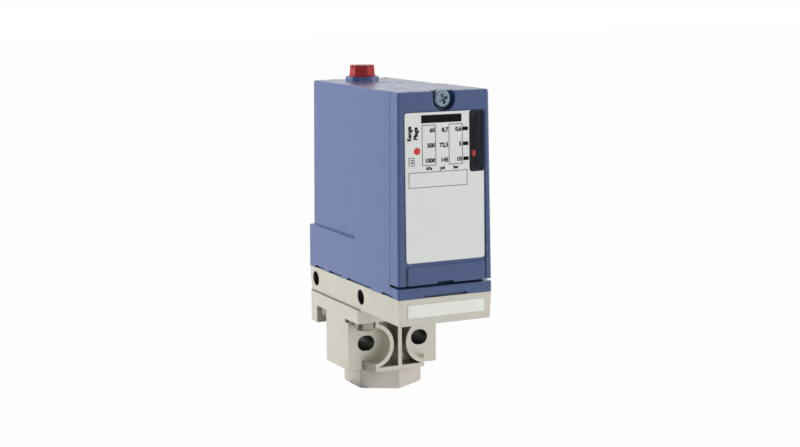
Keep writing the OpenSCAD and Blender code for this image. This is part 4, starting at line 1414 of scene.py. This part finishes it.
@dataclass
class LabelPrint:
    """Scale figures, ticks and frames on the label, with sizes in millimetres."""

    camera: PhotoCamera
    columns: tuple[Column, ...] = (
        Column("box_left", ("60", "500", "1000"), "kPa"),
        Column("box_left", ("8,7", "72,5", "145"), "psi", 4.9),
        Column("box_right", ("0,6", "5", "10"), "bar"),
    )
    words: tuple[tuple[str, float], ...] = (("Range", -1.15), ("Plage", 1.15))
    box_size: Pair = (5.1, 13.3)
    blank_size: Pair = (21.6, 5.1)
    header_size: Pair = (14.8, 2.6)
    symbol_size: Pair = (2.1, 2.7)
    symbol_strokes: tuple[tuple[float, float, float, float], ...] = (
        (0.0, -0.45, 1.26, 0.25), (0.0, 0.45, 1.26, 0.25), (0.35, 0.0, 0.25, 1.2),
    )
    line: float = 0.17
    figure: float = 1.9
    figure_inset: float = 0.35
    figure_drop: float = 0.1
    word_growth: float = 1.05
    caption: float = 1.5
    caption_drop: float = 0.95
    boldness: float = 0.045
    curve_steps: int = 4
    tick_size: Pair = (2.0, 1.2)
    mark_radius: float = 1.3
    thickness: float = 0.04
    proud: float = 0.4
    ink: list[bpy.types.Object] = field(default_factory=list)

    def __post_init__(self) -> None:
        """Takes the label's own plane from the point in the blank box."""
        self.film = frame["nodes"]["label_plate"]
        self.origin, normal = self.camera.land("blank_box", self.film)
        right = (Vector((1, 0, 0)) - normal * normal.x).normalized()
        self.plane = Matrix((right, normal.cross(right), normal)).transposed()
        self.lift = self.thickness * self.proud

    def spot(self, point: str) -> Vector:
        """Finds an image point's place on the label.

        Args:
            point: The image point's name.

        Returns:
            The place in the label's plane, in millimetres.
        """
        place, _ = self.camera.land(point, self.film)
        flat = self.plane.transposed() @ (place - self.origin)
        return Vector((flat.x / MM, flat.y / MM))

    def settle(self, mesh: bpy.types.Mesh) -> bpy.types.Mesh:
        """Moves a mesh from label millimetres to its place on the film.

        Args:
            mesh: The mesh.

        Returns:
            The same mesh.
        """
        lift = Matrix.Translation(self.origin) @ self.plane.to_4x4()
        mesh.transform(lift @ Matrix.Scale(MM, 4))
        return mesh

    def rectangle(self, shape: bmesh.types.BMesh, middle: Vector, size: Sequence[float]) -> None:
        """Adds a thin slab of ink.

        Args:
            shape: What it is added to.
            middle: Its middle in the label's plane.
            size: Its width and height.
        """
        made = bmesh.ops.create_cube(shape, size=1.0)["verts"]
        grow = Matrix.Diagonal((size[0], size[1], self.thickness, 1.0))
        move = Matrix.Translation((*middle, self.lift))
        bmesh.ops.transform(shape, matrix=move @ grow, verts=made)

    def outline(self, shape: bmesh.types.BMesh, middle: Vector, size: Sequence[float]) -> None:
        """Adds a thin frame of four strokes.

        Args:
            shape: What it is added to.
            middle: Its middle.
            size: Its outer width and height.
        """
        wide, high = size
        for side in (-1, 1):
            along = Vector((0, side * (high - self.line) / 2))
            across = Vector((side * (wide - self.line) / 2, 0))
            self.rectangle(shape, middle + along, (wide, self.line))
            self.rectangle(shape, middle + across, (self.line, high - 2 * self.line))

    def word(
        self, text: str, middle: Vector, size: float, turn: float = 0.0, align: str = "CENTER"
    ) -> None:
        """Prints figures or a unit as a mesh.

        Args:
            text: What is printed.
            middle: Its middle, or its right end where it is set to the right.
            size: Height of the type.
            turn: Turn in the label's plane, in radians.
            align: How the line is set.
        """
        name = f"type_{text}"
        data = bpy.data.curves.new(name, "FONT")
        data.body, data.size, data.align_x, data.align_y = text, size, align, "CENTER"
        data.extrude = self.thickness / 2
        data.offset = size * self.boldness
        data.resolution_u = self.curve_steps
        mesh = baked_mesh(new_object(name, data), name)
        move = Matrix.Translation((*middle, self.lift))
        mesh.transform(move @ Matrix.Rotation(turn, 4, "Z"))
        self.ink.append(new_object(name, self.settle(mesh)))

    def frames(self) -> None:
        """Prints the header bar, the frames and the small symbol."""
        shape = bmesh.new()
        self.outline(shape, self.spot("blank_box"), self.blank_size)
        for point in ("box_left", "box_right"):
            self.outline(shape, self.spot(point), self.box_size)
        self.rectangle(shape, self.spot("header_bar"), self.header_size)
        symbol = self.spot("symbol")
        self.outline(shape, symbol, self.symbol_size)
        for x, y, *size in self.symbol_strokes:
            self.rectangle(shape, symbol + Vector((x, y)), size)
        mesh = self.settle(mesh_from("label_frames", shape))
        self.ink.append(new_object("label_frames", mesh))

    def figures(self) -> None:
        """Prints the three columns of figures with their units."""
        top, bottom = self.spot("tick_top").y, self.spot("tick_bottom").y
        wide, high = self.box_size
        for column in self.columns:
            middle = self.spot(column.point)
            right = middle.x + column.shift + wide / 2 - self.figure_inset
            for figure, row in zip(column.figures, (top, (top + bottom) / 2, bottom)):
                end = Vector((right, row - self.figure_drop))
                self.word(figure, end, self.figure, align="RIGHT")
            foot = middle.y - high / 2 - self.caption_drop
            self.word(column.unit, Vector((middle.x + column.shift, foot)), self.caption)

    def ticks(self) -> bpy.types.Mesh:
        """Prints the row of ticks beside the window with a Geometry Nodes tree.

        Returns:
            The ticks, in place.
        """
        made = GeometryTree(
            "tick_row",
            {
                "Count": 3,
                "Start": (0.0, 0.0, 0.0),
                "End": (0.0, 1.0, 0.0),
                "Tick Size": (1.0, 1.0, 1.0),
            },
        )
        count, start, end, size = map(made.value, ("Count", "Start", "End", "Tick Size"))
        inputs = {"Count": count, "Start Location": start, "Offset": end}
        row = made.out("GeometryNodeMeshLine", inputs, mode="END_POINTS")
        tick = made.out("GeometryNodeMeshCube", {"Size": size})
        inputs = {"Points": row, "Instance": tick}
        made.close(made.out("GeometryNodeInstanceOnPoints", inputs), BLACK_INK.material())
        mesh = made.run(
            "scale_ticks",
            bpy.data.meshes.new("tick_start"),
            {
                "Start": (*self.spot("tick_top"), self.lift),
                "End": (*self.spot("tick_bottom"), self.lift),
                "Tick Size": (*self.tick_size, self.thickness),
            },
        )
        return self.settle(mesh)

    def mark(self) -> None:
        """Prints the red six-sided mark, which stands for the red adjuster."""
        shape = bmesh.new()
        bmesh.ops.create_cone(
            shape,
            cap_ends=True,
            segments=6,
            radius1=self.mark_radius,
            radius2=self.mark_radius,
            depth=self.thickness,
            matrix=Matrix.Translation((*self.spot("red_mark"), self.lift)),
        )
        piece = new_object("red_mark", self.settle(mesh_from("red_mark", shape)))
        RED_INK.dress(piece)
        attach(piece, "cover")
        report(piece)

    def build(self) -> None:
        """Prints the whole label and joins the black ink to one piece."""
        self.frames()
        self.figures()
        middle = self.spot("words")
        for text, shift in self.words:
            place = middle + Vector((shift, 0))
            self.word(text, place, self.figure * self.word_growth, turn=math.pi / 2)
        self.ink.append(new_object("scale_ticks", self.ticks()))
        joined = bmesh.new()
        for piece in self.ink:
            joined.from_mesh(piece.data)
            bpy.data.objects.remove(piece)
        for face in joined.faces:
            face.material_index = 0
        piece = new_object("label_print", mesh_from("label_print", joined))
        BLACK_INK.dress(piece)
        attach(piece, "cover")
        report(piece)
        self.mark()


# ---- The CAD pieces that keep their shape ----


@dataclass
class CadPieces:
    """Every CAD node that stays as it is, in its own finish."""

    finishes: dict[str, Finish]

    def build(self) -> None:
        """Dresses the nodes."""
        for node, finish in self.finishes.items():
            finish.dress(frame["nodes"][node])
            LOG.info("%s: %s", node, finish.name)


# ---- Measures ----


@dataclass
class Report:
    """Measures how far each thing shows from its image point, and the two boxes."""

    camera: PhotoCamera
    front_depth: float = 0.3
    window_depth: float = 0.9
    printed: tuple[str, ...] = (
        "tick_top", "tick_bottom", "box_left", "box_right", "blank_box", "header_bar", "symbol",
        "words",
    )

    def shown(self, name: str, depth: float = math.inf) -> Pair:
        """Finds the middle of what a piece covers in the image.

        Args:
            name: The piece or node.
            depth: How far behind its front corners still count, in millimetres.

        Returns:
            The middle's x and y in the frame, in pixels.
        """
        piece = bpy.data.objects.get(name) or frame["nodes"][name]
        found = [v.co for v in piece.data.vertices]
        front = min(c.y for c in found)
        seen = [self.camera.pixel(c) for c in found if c.y < front + depth * MM]
        xs, ys = zip(*seen)
        return (min(xs) + max(xs)) / 2, (min(ys) + max(ys)) / 2

    def measure(self) -> dict[str, dict[str, float]]:
        """Compares each named point with the finished model.

        Returns:
            Offset in x and y of each point, in pixels.
        """
        pixel = self.camera.pixel
        meshes = [o.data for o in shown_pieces() if o.type == "MESH"]
        xs, ys = zip(*(pixel(v.co) for mesh in meshes for v in mesh.vertices))
        edges = {"left": min(xs), "right": max(xs), "top": min(ys), "bottom": max(ys)}
        offsets = {
            key: {"x" if key in ("left", "right") else "y": round(edges[key] - value, 2)}
            for key, value in EDGES.items()
        }
        fixing, side = MOUNTS["front_fixing_holes"], MOUNTS["side_fixing_holes"]
        half = Vector((fixing["dims"]["spacing_x_mm"] * MM / 2, 0, 0))
        reach = Vector((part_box("pressure_body")[0].x, -side["dims"]["spacing_x_mm"] * MM / 2, 0))
        low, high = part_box("range_pointer")
        film = frame["nodes"]["label_plate"]
        found = {
            "cap": self.shown("range_cap"),
            "cover_screw": self.shown("threaded_cover_screw", self.front_depth),
            "window": self.shown("indicator_window", self.window_depth),
            "pointer": pixel(((low.x + high.x) / 2, low.y, (low.z + high.z) / 2)),
            "side_hole": pixel(Vector(side["pos_m"]) + reach),
            "fixing_left": pixel(Vector(fixing["pos_m"]) - half),
            "fixing_right": pixel(Vector(fixing["pos_m"]) + half),
            "red_mark": self.shown("red_mark"),
            **{key: pixel(self.camera.land(key, film)[0]) for key in self.printed},
        }
        for key, (x, y) in found.items():
            goal = POINTS[key]
            offsets[key] = {"x": round(x - goal[0], 2), "y": round(y - goal[1], 2)}
        return offsets

    def write(self) -> None:
        """Measures the offsets, which are not kept."""
        self.measure()


def main() -> None:
    """Builds the scene in order."""
    logging.basicConfig(level=logging.INFO, format="%(message)s")
    camera = PhotoCamera()
    camera.build()
    Studio().build()
    CadPieces(NODE_FINISH).build()
    TappedParts().build()
    Fasteners().build()
    LabelPrint(camera).build()
    Report(camera).write()


if __name__ == "__main__":
    main()
